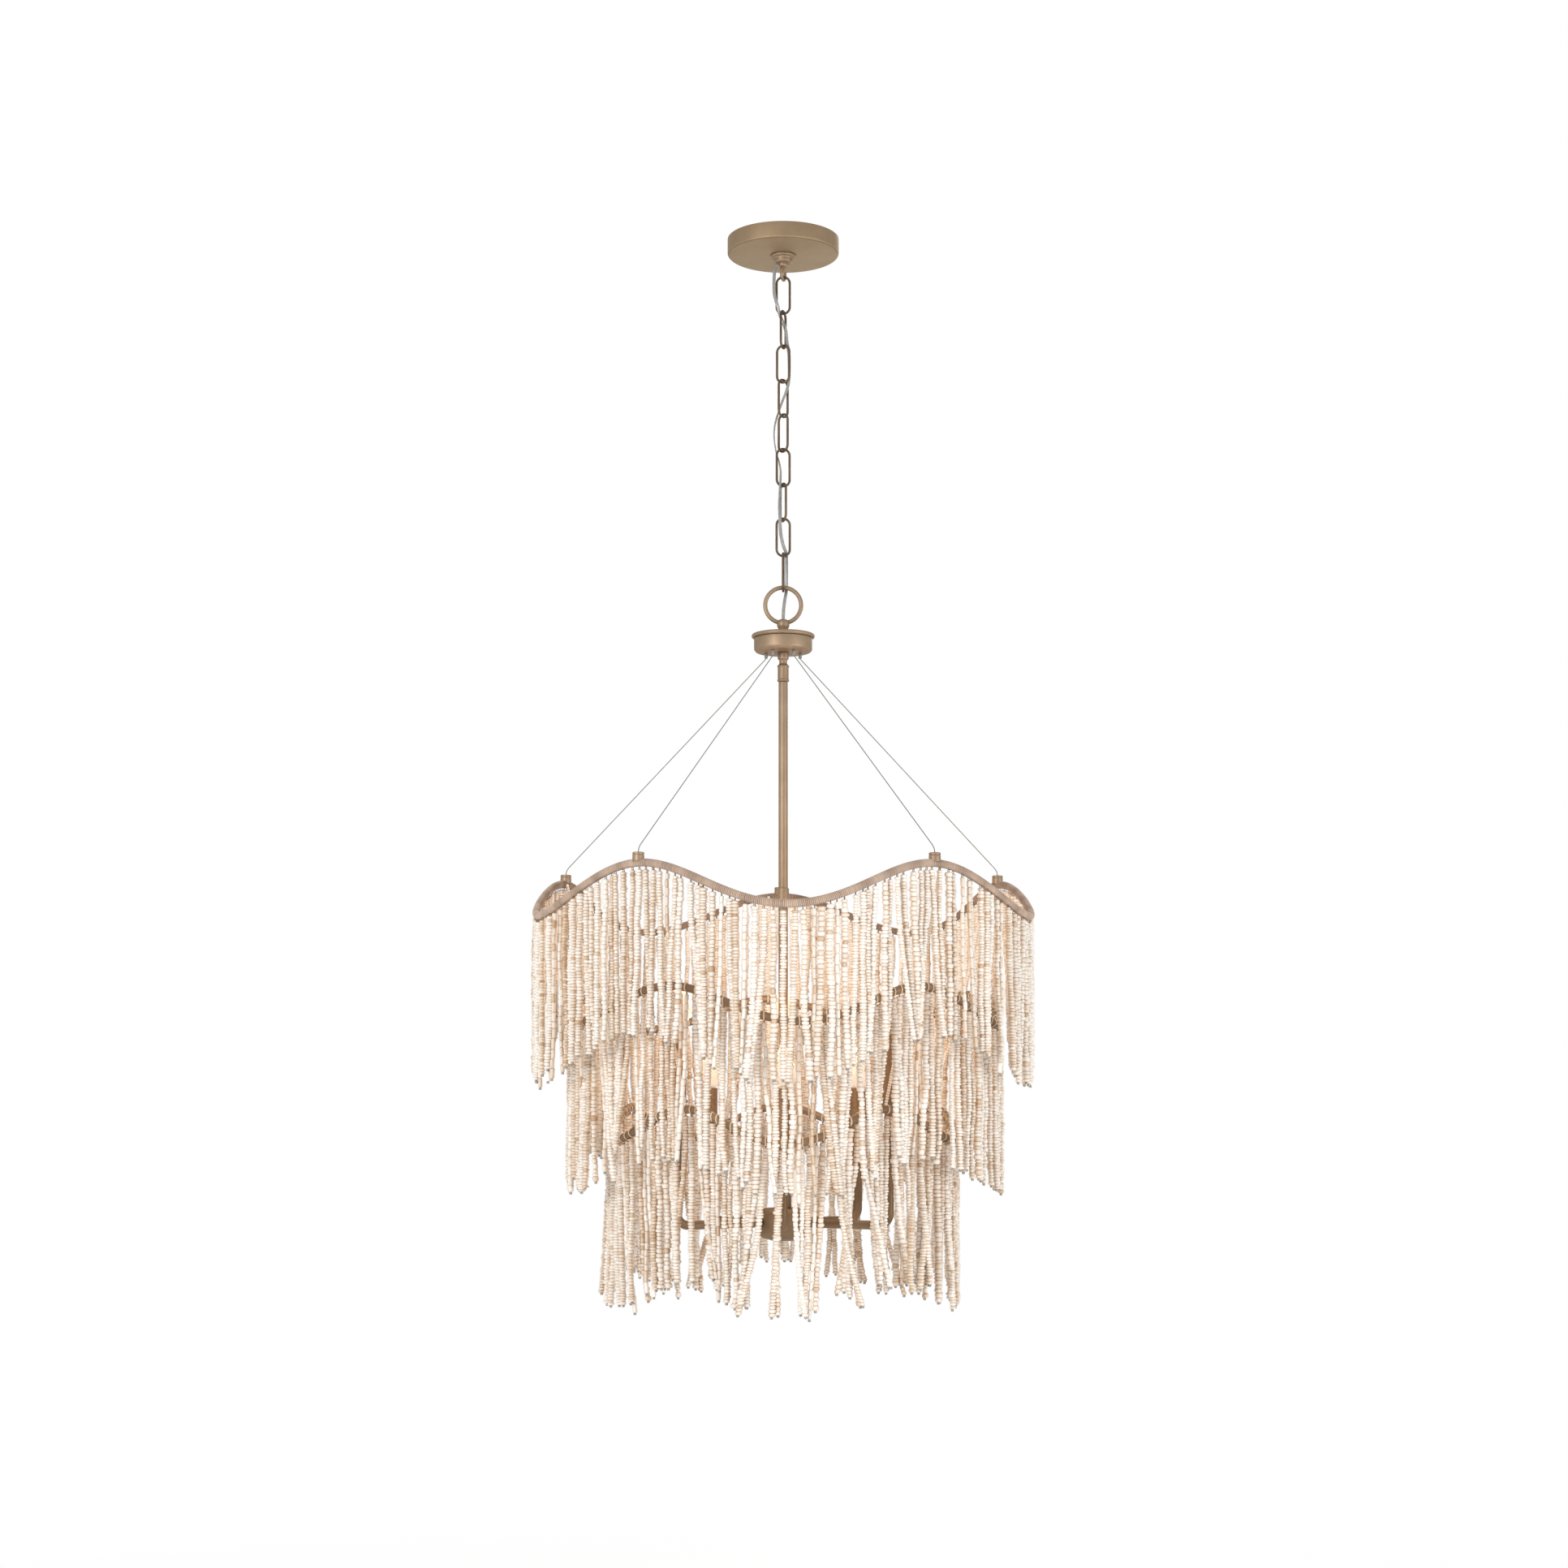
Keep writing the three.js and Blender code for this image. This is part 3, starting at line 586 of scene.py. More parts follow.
# Stem
STEM_RADIUS = 5.75
STEM_BORE = 6.05
COUPLING_RIB = 7.5
COUPLING_RADIUS = 6.8
COUPLING_NECK = 4.9
COUPLING_FOOT = 6.9
COLUMN_RADIUS = 9.8
_, _, coupling_bottom, coupling_top = span("stem_coupling")
coupling_profile = [
    (0, coupling_bottom),
    (6.4, coupling_bottom),
    (COUPLING_RIB, coupling_bottom + 0.9),
    (COUPLING_RIB, coupling_bottom + 1.9),
    (COUPLING_RADIUS, coupling_bottom + 2.9),
    (COUPLING_RADIUS, coupling_bottom + 17.8),
    (COUPLING_RIB, coupling_bottom + 18.7),
    (COUPLING_RIB, coupling_bottom + 19.7),
    (6.4, coupling_bottom + 20.8),
    (COUPLING_NECK, coupling_bottom + 22.4),
    (COUPLING_NECK, coupling_top - 9.6),
    (COUPLING_FOOT, coupling_top - 7.8),
    (COUPLING_FOOT, coupling_top),
    (0, coupling_top),
]
turned("coupling", "stem_coupling", coupling_profile, champagne, sides=56, soften=0.5)

for half in ("upper", "lower"):
    _, _, low, high = span(f"{half}_stem")
    stem_profile = [(0, low), (STEM_RADIUS, low), (STEM_RADIUS, high), (0, high)]
    turned(f"stem_{half}", f"{half}_stem", stem_profile, champagne, sides=48)

_, coupler_radius, coupler_bottom, coupler_top = span("stem_coupler")
coupler_profile = [
    (STEM_BORE, coupler_bottom),
    (6.9, coupler_bottom),
    (coupler_radius, coupler_bottom + 1),
    (coupler_radius, coupler_top - 1),
    (6.9, coupler_top),
    (STEM_BORE, coupler_top),
]
turned("stem_nut", "stem_coupler", coupler_profile, champagne, sides=56, soften=0.5)

_, _, column_bottom, column_top = span("column_sleeve")
column_profile = [
    (STEM_BORE, column_bottom),
    (COLUMN_RADIUS, column_bottom),
    (COLUMN_RADIUS, column_top - 2),
    (COLUMN_RADIUS - 1.4, column_top),
    (STEM_BORE, column_top),
]
turned("column", "column_sleeve", column_profile, bronze, slot="dark_metal", sides=56, soften=0.8)

# Wavy rings
WAVES = 5
TUBE_RADIUS = 4.75
RINGS = {
    "top": {"radius": 296, "lobe": 9, "depth": 838.5, "wave": 25.7, "turn": 1},
    "middle": {"radius": 255, "lobe": 9, "depth": 972, "wave": 20.5, "turn": 4},
    "bottom": {"radius": 204, "lobe": 8.5, "depth": 1110.7, "wave": 19.1, "turn": 1},
}
FINE_STEPS = 4001


def around(azimuth, radius, height):
    """Points at azimuths counted from the viewer, growing towards +X."""
    azimuth = np.asarray(azimuth, float)
    return np.stack([radius * np.sin(azimuth), -radius * np.cos(azimuth), height + 0 * azimuth], -1)


def ring_points(ring, azimuth):
    """Points on the middle line of a ring."""
    azimuth = np.asarray(azimuth, float)
    phase = WAVES * (azimuth - math.radians(ring["turn"]))
    radius = ring["radius"] + ring["lobe"] * np.cos(phase)
    return around(azimuth, radius, -ring["depth"] - ring["wave"] * np.cos(phase))


def crests(ring):
    """Azimuths of a ring's highest points."""
    return math.radians(ring["turn"]) + (2 * np.arange(WAVES) + 1) / WAVES * math.pi


def even_azimuths(ring, count):
    """Azimuths whose points lie evenly along the ring, and the ring's length."""
    fine = np.linspace(0, TAU, FINE_STEPS)
    length = walked(ring_points(ring, fine))
    return np.interp(np.arange(count) / count * length[-1], length, fine), length[-1]


THREAD_PITCH = 2.1
THREAD_HEIGHT = 0.55
THREAD_STEPS = 4
WOUND_SIDES = 14
# the winding swells and shrinks slowly along the ring, and a little from step to step
SWELL = 0.015
SWELL_STEPS = 37.0
STEP_NOISE = 0.004
# tints: a thread's crown over its groove, with painted shade in the groove, a slow drift, and from step to
# step
CROWN_TINT = 0.8
DRIFT_TINT = 0.12
DRIFT_PACE = 0.37
STEP_TINT = 0.08
# painted shade: the tone grows with how far a face looks outwards or up, so the inside is darker
UPWARD_LIGHT_SHARE = 0.35
SHADE_BASE = 0.5
SHADE_GAIN = 0.9
SHADE_SHIFT = 0.35
INNER_SHADE = 0.36


def wound_ring():
    """The top ring is wound with cord, so its surface is a fine helix of thread, with painted shade on the
    inside and in the thread's grooves.
    """
    ring = RINGS["top"]
    _, length = even_azimuths(ring, 1)
    stations = round(length / THREAD_PITCH) * THREAD_STEPS
    steps = np.arange(stations)
    azimuths, _ = even_azimuths(ring, stations)
    phase = steps[:, None] / THREAD_STEPS - np.arange(WOUND_SIDES) / WOUND_SIDES
    ridge = np.abs(np.cos(math.pi * phase))
    wobble = 1 + SWELL * np.sin(steps / SWELL_STEPS) + rng.normal(0, STEP_NOISE, stations)
    centre = ring_points(ring, azimuths)
    ways = tube(centre, 1.0, WOUND_SIDES, True) - centre[:, None]
    reach = (TUBE_RADIUS - THREAD_HEIGHT * (1 - ridge)) * wobble[:, None]
    # painted shade: darker where the cord faces inwards or down, and in the grooves of its thread
    outside = (ways * around(azimuths, 1.0, 0.0)[:, None]).sum(-1) + UPWARD_LIGHT_SHARE * ways[..., 2]
    shade = np.clip(SHADE_BASE + SHADE_GAIN * (outside + SHADE_SHIFT), INNER_SHADE, 1)
    tint = ridge * CROWN_TINT + DRIFT_TINT * np.sin(phase * DRIFT_PACE)
    tint = tint + rng.normal(0, STEP_TINT, (stations, 1))
    mesh = Mesh()
    mesh.grid(centre[:, None] + ways * reach[..., None], True, np.clip(tint, 0, 1) * shade)
    mesh.finish("wound_ring", wound_cord, "fixture", "wrapped_cord", ["top_ring"], sharp=180)


HOOP_STEPS = 240
TIE_STEPS = 180
TIE_RADIUS = 1.8
TIE_RIDGE = 0.25
CAD_TIE_RADIUS = 2.0
TIE_GAP = 0.3


def lower_ring(name, above_name):
    """A painted tube, and the thread-wound ties that lean on the ring above."""
    ring, above = RINGS[name], RINGS[above_name]
    mesh, ties = Mesh(), Mesh()
    azimuths, _ = even_azimuths(ring, HOOP_STEPS)
    mesh.grid(tube(ring_points(ring, azimuths), TUBE_RADIUS, 16, True), True)
    tilt = math.atan2(above["radius"] - ring["radius"], ring["depth"] - above["depth"])
    reach = (TUBE_RADIUS + CAD_TIE_RADIUS + TIE_GAP) / math.cos(tilt)
    ridge = np.cos(np.arange(TIE_STEPS) * math.pi / 2)
    for azimuth in crests(ring):
        foot = ring_points(ring, azimuth)
        head = ring_points(above, azimuth) - around(azimuth, reach, 0)
        line = foot + (head - foot) * np.linspace(0, 1, TIE_STEPS)[:, None]
        corners = tube(line, TIE_RADIUS + TIE_RIDGE * ridge, 12, hint=(1, 0.3, 0))
        # painted shade: the grooves between turns of thread are tinted darker
        ties.grid(corners, tint=0.5 + 0.4 * ridge)
    mesh.finish(f"{name}_hoop", lightened_hoop_bronze, "fixture", "dark_metal", [f"{name}_ring"])
    ties.finish(f"{name}_hangers", cream_beads, "fixture", "wrapped_cord", sharp=180)


wound_ring()
lower_ring("middle", "top")
lower_ring("bottom", "middle")

# Bead strands
STRAND_LENGTH = 192.0
STRAND_PITCHES = {"top": 10.5, "middle": 10.2, "bottom": 9.5}
KINDS = ["disc", "nugget", "tube"]
KIND_SHARES = [0.66, 0.24, 0.1]
STRAND_RADII = {"disc": (3.4, 4.8), "nugget": (3.5, 4.6), "tube": (2.4, 3.3)}
# ranges of a bead's height, and of its radius as a share of its strand's
BEAD_RANGES = {
    "disc": ((2.6, 4.4), (0.84, 1.08)),
    "nugget": ((3.4, 6.4), (0.8, 1.22)),
    "tube": ((7, 13), (0.94, 1.04)),
}
BEAD_SIDES = 6
BEAD_TAPER = (0.93, 1.0)
BEAD_EDGE_SHARE = 0.26
BEAD_EDGE_MOST = 1.0
BEAD_TINT = (0.64, 0.09)
LEAST_TINT = 0.36
DARK_SHARE = 0.02
DARK_TINTS = (0.18, 0.35)
BEAD_GROOVE = 0.64
BEAD_GROOVE_SHADE = 0.5
# painted shade on the sides of a strand that face its neighbours
PAINTED_SIDE_SHADE = 0.32
PAINTED_SHADE_POWER = 1.5
BARE_STRING = 0.4
SHORTEST_REST = 1.5
EYE_DROP = 2.6
EYE_RADIUS = 1.5
EYE_WIRE = 0.45
CRIMP_ROOM = 3
CRIMP_HEIGHTS = np.array([0.6, 0.0, -0.9, -1.9, -2.4])
CRIMP_RADII = np.array([0.5, 1.5, 1.9, 1.6, 0.5])
WRAP_RADIUS = TUBE_RADIUS + 0.6
WRAP_THREAD = 0.9
WRAP_FLAT = 0.6
# how strands differ in place, length and tone, the places along the ring as a share of the pitch
PLACE_SPREAD = 0.16
INWARD_SPREAD = 0.9
LENGTH_SPREAD = 2.6
TONE_SPREAD = 0.12
# shares of strands that are cut short, and that hang out of line, and by how much
SHORT_SHARE = 0.06
SHORT_CUTS = (6, 16)
STRAY_SHARE = 0.07
STRAY_LEAN = 2.6
SWING_SHARE = 0.6
LAG_POWER = 1.6
# ripples reach their full height at a fifth of the strand's length
RIPPLE_GROWTH = 5
RIPPLE_LENGTHS = (12, 34)
RIPPLE_LEAST = 0.3
RIPPLE_ALONG = 1.5
RIPPLE_OUTWARD = 1.1
BEAD_SHIFT = 0.28
BUNCH_SIZES = (1, 6)
BUNCH_PULLS = (0.2, 1)
BUNCH_SHIFT = 4


def bead_rows(length, kind):
    """Depths below the strand's top, radius shares and tints of one string of beads."""
    depths, radii, tints = [0.0], [0.35], [0.4]
    depth = BARE_STRING
    while depth < length - SHORTEST_REST:
        size, wide = (rng.uniform(*ends) for ends in BEAD_RANGES[kind])
        edge = min(BEAD_EDGE_SHARE * size, BEAD_EDGE_MOST)
        tint = float(np.clip(rng.normal(*BEAD_TINT), LEAST_TINT, 1))
        if rng.random() < DARK_SHARE:
            tint = rng.uniform(*DARK_TINTS)
        depths += [depth, depth + edge, depth + size - edge]
        radii += [wide * BEAD_GROOVE, wide, wide * rng.uniform(*BEAD_TAPER)]
        tints += [tint - BEAD_GROOVE_SHADE, tint, tint]
        depth += size
    depths += [depth, depth + BARE_STRING]
    radii += [0.6, 0.3]
    tints += [0.2, 0.2]
    return np.array(depths), np.array(radii), np.clip(tints, 0, 1)


def bunches(azimuths, radius, pull):
    """How far each strand's end is drawn along the ring: the ends of a few neighbours come together."""
    drawn = np.zeros(len(azimuths))
    first = 0
    while first < len(azimuths):
        last = first + int(rng.integers(*BUNCH_SIZES))
        group = azimuths[first:last]
        closer = (group.mean() - group) * radius * rng.uniform(*BUNCH_PULLS) * pull
        drawn[first:last] = closer + rng.normal(0, BUNCH_SHIFT * pull)
        first = last
    return drawn


def ripple(depths, most):
    """A gentle wave down a strand, in millimetres."""
    height = rng.uniform(RIPPLE_LEAST, most)
    return height * np.sin(depths / rng.uniform(*RIPPLE_LENGTHS) + rng.uniform(0, TAU))


def strand_line(depths, hang, drawn, lean, along, outward):
    """Middle line of a strand that leans and ripples, with its beads a little out of line."""
    sway = drawn + rng.normal(0, lean) + (rng.random() < STRAY_SHARE) * rng.normal(0, STRAY_LEAN * lean)
    swing = rng.normal(0, SWING_SHARE * lean)
    share = depths / STRAND_LENGTH
    lag = share**LAG_POWER
    grown = np.minimum(1, share * RIPPLE_GROWTH)
    sideways = sway * lag + ripple(depths, RIPPLE_ALONG) * grown
    forwards = swing * lag + ripple(depths, RIPPLE_OUTWARD) * grown
    line = np.empty((len(depths), 3))
    line[:] = hang
    line[:, 2] = hang[2] - TUBE_RADIUS - EYE_DROP - depths
    line += sideways[:, None] * along + forwards[:, None] * outward
    # the first row and the last two are bare string, and each bead between them has three rows
    shifts = rng.normal(0, BEAD_SHIFT, ((len(line) - 3) // 3, 3))
    line[1:-2] += np.repeat(shifts, 3, axis=0) * (1, 1, 0)
    return line


def level_rings(line, radii, angle):
    """Level rings about the points of a line that runs down, in the order that faces need."""
    points = np.empty((len(line), len(angle), 3))
    points[..., 0] = line[:, :1] + radii[:, None] * np.cos(angle)
    points[..., 1] = line[:, 1:2] + radii[:, None] * np.sin(angle)
    points[..., 2] = line[:, 2:]
    return points[:, ::-1]


def fringe(tier, lean, pull):
    """One tier of strands. lean is how far ends stray, and pull how far neighbours come together."""
    ring = RINGS[tier]
    pitch = STRAND_PITCHES[tier]
    _, length = even_azimuths(ring, 1)
    count = round(length / pitch)
    azimuths, _ = even_azimuths(ring, count)
    jitter = rng.normal(0, PLACE_SPREAD, count)
    if tier == "top":
        # in the photograph strands of the top tier cover the stem
        jitter[0] = 0
    azimuths = azimuths + jitter * pitch / ring["radius"]
    beads, crimps, eyes, wraps = Mesh(), Mesh(), Mesh(), Mesh()
    for azimuth, drawn in zip(azimuths, bunches(azimuths, ring["radius"], pull)):
        along = np.array([math.cos(azimuth), math.sin(azimuth), 0])
        outward = np.array([math.sin(azimuth), -math.cos(azimuth), 0])
        spot = ring_points(ring, azimuth)
        hang = spot + around(azimuth, rng.normal(0, INWARD_SPREAD), 0)
        kind = rng.choice(KINDS, p=KIND_SHARES)
        # every kind is drawn, so that the choice doesn't change what follows
        radius = {name: rng.uniform(*ends) for name, ends in STRAND_RADII.items()}[kind]
        size = STRAND_LENGTH - EYE_DROP - CRIMP_ROOM + rng.normal(0, LENGTH_SPREAD)
        size -= (rng.random() < SHORT_SHARE) * rng.uniform(*SHORT_CUTS)
        depths, radii, tints = bead_rows(size, kind)
        line = strand_line(depths, hang, drawn, lean, along, outward)
        angle = full_turn(BEAD_SIDES) + rng.uniform(0, TAU)
        tone = rng.normal(0, TONE_SPREAD)
        # painted shade darkens the sides that face the next strands
        faced = np.cos(angle) * outward[0] + np.sin(angle) * outward[1]
        painted_side_shade = PAINTED_SIDE_SHADE * (1 - faced**2) ** PAINTED_SHADE_POWER
        corner_tints = np.clip(tints[:, None] + tone - painted_side_shade, 0, 1)
        beads.grid(level_rings(line, radii * radius, angle), tint=corner_tints[:, ::-1])
        crimp_line = line[-1] + CRIMP_HEIGHTS[:, None] * UP
        crimps.grid(level_rings(crimp_line, CRIMP_RADII, full_turn(BEAD_SIDES)))
        # a small eye of dark metal joins the string to the ring; its dark tone also stands in for the shade
        # under the ring
        eye_line = circle(hang - (TUBE_RADIUS + EYE_DROP / 2) * UP, EYE_RADIUS, 8, outward)
        eyes.grid(tube(eye_line, EYE_WIRE, 5, True, along), True)
        if tier != "top":
            # the top ring is wound all round already
            wrap_line = circle(spot, WRAP_RADIUS, 12, outward)
            wraps.grid(tube(wrap_line, WRAP_THREAD, 6, True, along, WRAP_FLAT), True)
    beads.finish(f"{tier}_beads", cream_beads, "fixture", "beads", [f"{tier}_strands"], sharp=180)
    crimps.finish(f"{tier}_crimps", crimp_grey, "fixture", "beads", sharp=180)
    eyes.finish(f"{tier}_eyes", eye_dark, "fixture", "beads", sharp=180)
    if wraps.count:
        wraps.finish(f"{tier}_ties", thread, "fixture", "beads", sharp=180)


fringe("top", lean=2.4, pull=0.85)
fringe("middle", lean=3.4, pull=1.2)
fringe("bottom", lean=5.0, pull=2.0)

# Suspension cables of three twisted wires, and their caps
CABLE_START = 22.3
CABLE_GAP = 0.3
CABLE_STEPS = 360
CABLE_BEND = 7.0
CABLE_BEND_HEIGHT = 5.0
CABLE_BEND_STEPS = 20
CABLE_IN_FERRULE = 2.0
WIRES = 3
WIRE_RADIUS = 0.45
WIRE_OFFSET = 0.2
ROPE_LAY = 7.0
FERRULE_LENGTH = 6.5
FERRULE_RADIUS = 2.1
CAP_TOP = 12.0
CAP_RADIUS = 6.8
CAP_GROOVE = 6.4


def suspension_cable(number, crest, azimuth):
    """Wire rope from a ferrule under the cup to the cap on a crest, upright where it enters the cap."""
    start = around(azimuth, CABLE_START, cup_bottom - CABLE_GAP)
    ferrule_end = start - FERRULE_LENGTH * UP
    end = crest + (CAP_TOP + CABLE_GAP) * UP
    corner = end + CABLE_BEND_HEIGHT * UP
    straight = np.linalg.norm(corner - ferrule_end)
    bend_start = corner + (ferrule_end - corner) * CABLE_BEND / straight
    run = [ferrule_end + (bend_start - ferrule_end) * t for t in np.linspace(0, 1, CABLE_STEPS)]
    bend = leaned(bend_start, corner, end, np.linspace(0, 1, CABLE_BEND_STEPS)[1:])
    line = np.array([ferrule_end + CABLE_IN_FERRULE * UP] + run + bend)
    tangent = unit(np.gradient(line, axis=0))
    side = unit(np.cross(tangent, np.array([0.3, 0.9, 0.1])))
    other = np.cross(tangent, side)
    mesh = Mesh()
    for wire in range(WIRES):
        spin = walked(line) / ROPE_LAY * TAU + wire / WIRES * TAU
        offset = WIRE_OFFSET * (np.cos(spin)[:, None] * side + np.sin(spin)[:, None] * other)
        mesh.grid(tube(line + offset, WIRE_RADIUS, 8, hint=side))
    ferrule = [
        (0, ferrule_end[2]),
        (1.5, ferrule_end[2]),
        (FERRULE_RADIUS, ferrule_end[2] + 0.9),
        (FERRULE_RADIUS, start[2]),
        (0, start[2]),
    ]
    lathe(mesh, rounded(ferrule, 0.4), 24, start[:2])
    mesh.finish(f"cable_{number}", wire_rope, "fixture", "steel_cable", [f"suspension_cable_{number}"])


def cable_cap(number, crest):
    """A grooved cap that sits on a crest of the top ring."""
    *_, top = span(f"cable_cap_{number}")
    profile = [
        (0, crest[2] + 1.5),
        (CAP_RADIUS, crest[2] + 1.5),
        (CAP_RADIUS, top - 3.6),
        (CAP_GROOVE, top - 3.3),
        (CAP_GROOVE, top - 2.9),
        (CAP_RADIUS, top - 2.6),
        (CAP_RADIUS, top - 0.7),
        (6.1, top),
        (1.6, top),
        (1.2, top - 0.5),
        (0, top - 0.5),
    ]
    mesh = Mesh()
    lathe(mesh, rounded(profile, 0.3), 40, crest[:2])
    mesh.finish(f"cap_{number}", champagne, "fixture", "metal", [f"cable_cap_{number}"])


for number, azimuth in enumerate(crests(RINGS["top"]), 1):
    crest = ring_points(RINGS["top"], azimuth)
    suspension_cable(number, crest, azimuth)
    cable_cap(number, crest)

# Lamp cluster
_, cluster_radius, cluster_bottom, cluster_top = span("cluster_body")
cluster_profile = [
    (0, cluster_bottom),
    (14, cluster_bottom),
    (16, cluster_bottom + 0.8),
    (cluster_radius - 4, cluster_bottom + 3.6),
    (cluster_radius, cluster_bottom + 10),
    (cluster_radius, cluster_top - 5),
    (cluster_radius - 5, cluster_top),
    (0, cluster_top),
]
turned("cluster_hub", "cluster_body", cluster_profile, bronze, slot="dark_metal", sides=96, soften=2.6)

LAMPS = 6
ARM_DEPTH = 1229.0
ARM_RADIUS = 5.3
ARM_BEND = 15.0
ARM_STARTS = (30.8, 45)
ARM_IN_CUP = 2
CUP_HEIGHT = 11
SOCKET_RADIUS = 8
SOCKET_DROP = 22
CARD_GAP = 0.3
CARD_BORE = 9.3
CARD_RADIUS = 10.5
GLASS_FOOT = 6
GLASS_NECK = 7.2
GLASS_SWELL = 11.6
GLOW_ENERGY = 0.22
GLOW_COLOUR = (1.0, 0.7, 0.46)
GLOW_SIZE = 0.02
GLOW_OVER_TIP = 0.012


def lamp_arm(number, place, card_low, card_high):
    """An arm that runs level, bends up and ends in a cup with a socket."""
    reach = float(np.hypot(*place))
    way = np.array([place[0] / reach, place[1] / reach, 0])
    foot = card_low - CARD_GAP - CUP_HEIGHT
    level = [(r, -ARM_DEPTH) for r in (*ARM_STARTS, reach - ARM_BEND)]
    bend = [
        (reach - ARM_BEND + ARM_BEND * math.sin(a), -ARM_DEPTH + ARM_BEND - ARM_BEND * math.cos(a))
        for a in np.linspace(0, math.pi / 2, 10)[1:]
    ]
    line = np.array([way * r + z * UP for r, z in level + bend + [(reach, foot + ARM_IN_CUP)]])
    socket_top = card_high - SOCKET_DROP
    cup = [
        (0, foot),
        (6.0, foot),
        (8.2, foot + 1.4),
        (10.6, foot + 4.2),
        (12.2, foot + 8.8),
        (12.2, foot + CUP_HEIGHT),
        (SOCKET_RADIUS, foot + CUP_HEIGHT),
        (SOCKET_RADIUS, socket_top),
        (0, socket_top),
    ]
    mesh = Mesh()
    mesh.grid(tube(line, ARM_RADIUS, 24, hint=np.cross(way, UP)))
    lathe(mesh, rounded(cup, 0.8), 48, place)
    mesh.finish(f"arm_{number}", bronze, "fixture", "dark_metal", [f"lamp_arm_{number}"])


def candle_sleeve(number, place, low, high):
    """A card sleeve with a slightly broken upper edge."""
    profile = [
        (CARD_BORE, low),
        (CARD_RADIUS, low),
        (CARD_RADIUS, high - 0.2),
        (10.2, high),
        (CARD_BORE, high),
        (CARD_BORE, low),
    ]
    mesh = Mesh()
    lathe(mesh, profile, 48, place)
    mesh.finish(f"sleeve_{number}", candle_card, "fixture", "candle_card", [f"candle_sleeve_{number}"])


def bulb(number, place, card_high):
    """A candle bulb, and the light that it gives."""
    _, _, low, high = span(f"bulb_{number}")
    neck = card_high + CARD_GAP
    tall = high - neck
    profile = [(0, low), (GLASS_FOOT, low), (GLASS_FOOT, card_high - 4), (GLASS_NECK, neck)]
    for t in np.linspace(0.04, 1, 18):
        swell = math.sin(math.pi * min(1, t**0.72)) ** 0.9
        profile.append((max(0.15, GLASS_NECK * (1 - t) ** 1.6 + GLASS_SWELL * swell), neck + tall * t))
    profile.append((0, high))
    mesh = Mesh()
    lathe(mesh, profile, 32, place)
    mesh.finish(f"lamp_{number}", lit_bulb, "fixture", "bulb_glass", [f"bulb_{number}"], sharp=60)
    glow = placed(f"glow_{number}", bpy.data.lights.new(f"glow_{number}", "POINT"))
    glow.data.energy = GLOW_ENERGY
    glow.data.color = GLOW_COLOUR
    glow.data.shadow_soft_size = GLOW_SIZE
    glow.location = (place[0] * MM, place[1] * MM, (neck + 0.95 * tall) * MM + GLOW_OVER_TIP)


for number in range(1, LAMPS + 1):
    place, _, card_low, card_high = span(f"candle_sleeve_{number}")
    lamp_arm(number, place, card_low, card_high)
    candle_sleeve(number, place, card_low, card_high)
    bulb(number, place, card_high)

# Lamp cord: a clear flat twin cord that weaves down the chain, in a piece for each joint
CORD_ROUTE = np.array([
    [-5.9, -1.2, -33], [-8.8, -1.9, -34.2], [-10.9, -2.4, -39], [-11.3, -2.7, -47], [-11.7, -3.1, -60],
    [-11.2, -3.6, -72], [-9, -4.6, -82], [-6.4, -4.6, -90], [-4.9, -3.2, -97], [-2.6, -1.2, -103],
    [0.5, -0.4, -110], [3.4, 0.6, -120], [4.5, 1.6, -131], [5.8, 2.3, -139], [7.2, 1.9, -148],
    [7.6, 1.8, -162], [7.6, 1.8, -174], [7.2, 1, -183], [6.2, -0.7, -190], [4, -0.8, -197],
    [1, 0.3, -205], [-2.2, 1.5, -213], [-5, 2.2, -221.5], [-7.6, 2.5, -229], [-10, 2.8, -238],
    [-11.3, 2.7, -251], [-10.5, 2.7, -264], [-8.4, 3.3, -276], [-5.8, 3.1, -284], [-4, 2.1, -292],
    [-3.1, 0.2, -300], [-3.2, -2.1, -308], [-3.5, -4.2, -316], [-4, -4.9, -324], [-4.6, -4, -338],
    [-4.5, -4, -352], [-4, -4.3, -362], [-3.6, -2.7, -372], [-2.6, -0.6, -383], [0.2, 1.4, -395],
    [3.2, 3.1, -403], [4.1, 3.9, -410], [4.2, 3.4, -420], [4.2, 3.6, -434], [4.1, 5.1, -446],
    [3.7, 5, -453.5], [2.6, 3, -460], [1.4, 0.9, -468], [0.4, 0.1, -478], [0, 0, -488.2],
])
CORD_WIDTH = 4.2
CORD_FLAT = 0.55
CORD_SIDES = 20
CORD_SPACING = 1.0
ROUTE_STEPS = 12
# the groove between the two wires: its depth, and its width as a share of the cord's half
CORD_GROOVE_DEPTH = 0.32
CORD_GROOVE_WIDTH = 0.35
# the cord's flat side turns to and fro on its way down, in radians, over a stretch in millimetres
FLAT_START = 0.5
FLAT_SWING = 0.9
FLAT_STRETCH = 55


def smooth_line(points, spacing):
    """A Catmull-Rom line through the points, at even steps."""
    padded = np.concatenate([points[:1], points, points[-1:]])
    out = []
    for p0, p1, p2, p3 in zip(padded, padded[1:], padded[2:], padded[3:]):
        slope = p2 - p0
        bow = 2 * p0 - 5 * p1 + 4 * p2 - p3
        twist = 3 * p1 - p0 - 3 * p2 + p3
        for t in np.linspace(0, 1, ROUTE_STEPS, endpoint=False):
            out.append(0.5 * (2 * p1 + slope * t + bow * t**2 + twist * t**3))
    out = np.array(out + [points[-1]])
    way = walked(out)
    even = np.linspace(0, way[-1], round(way[-1] / spacing) + 1)
    return np.stack([np.interp(even, way, out[:, k]) for k in range(3)], -1)


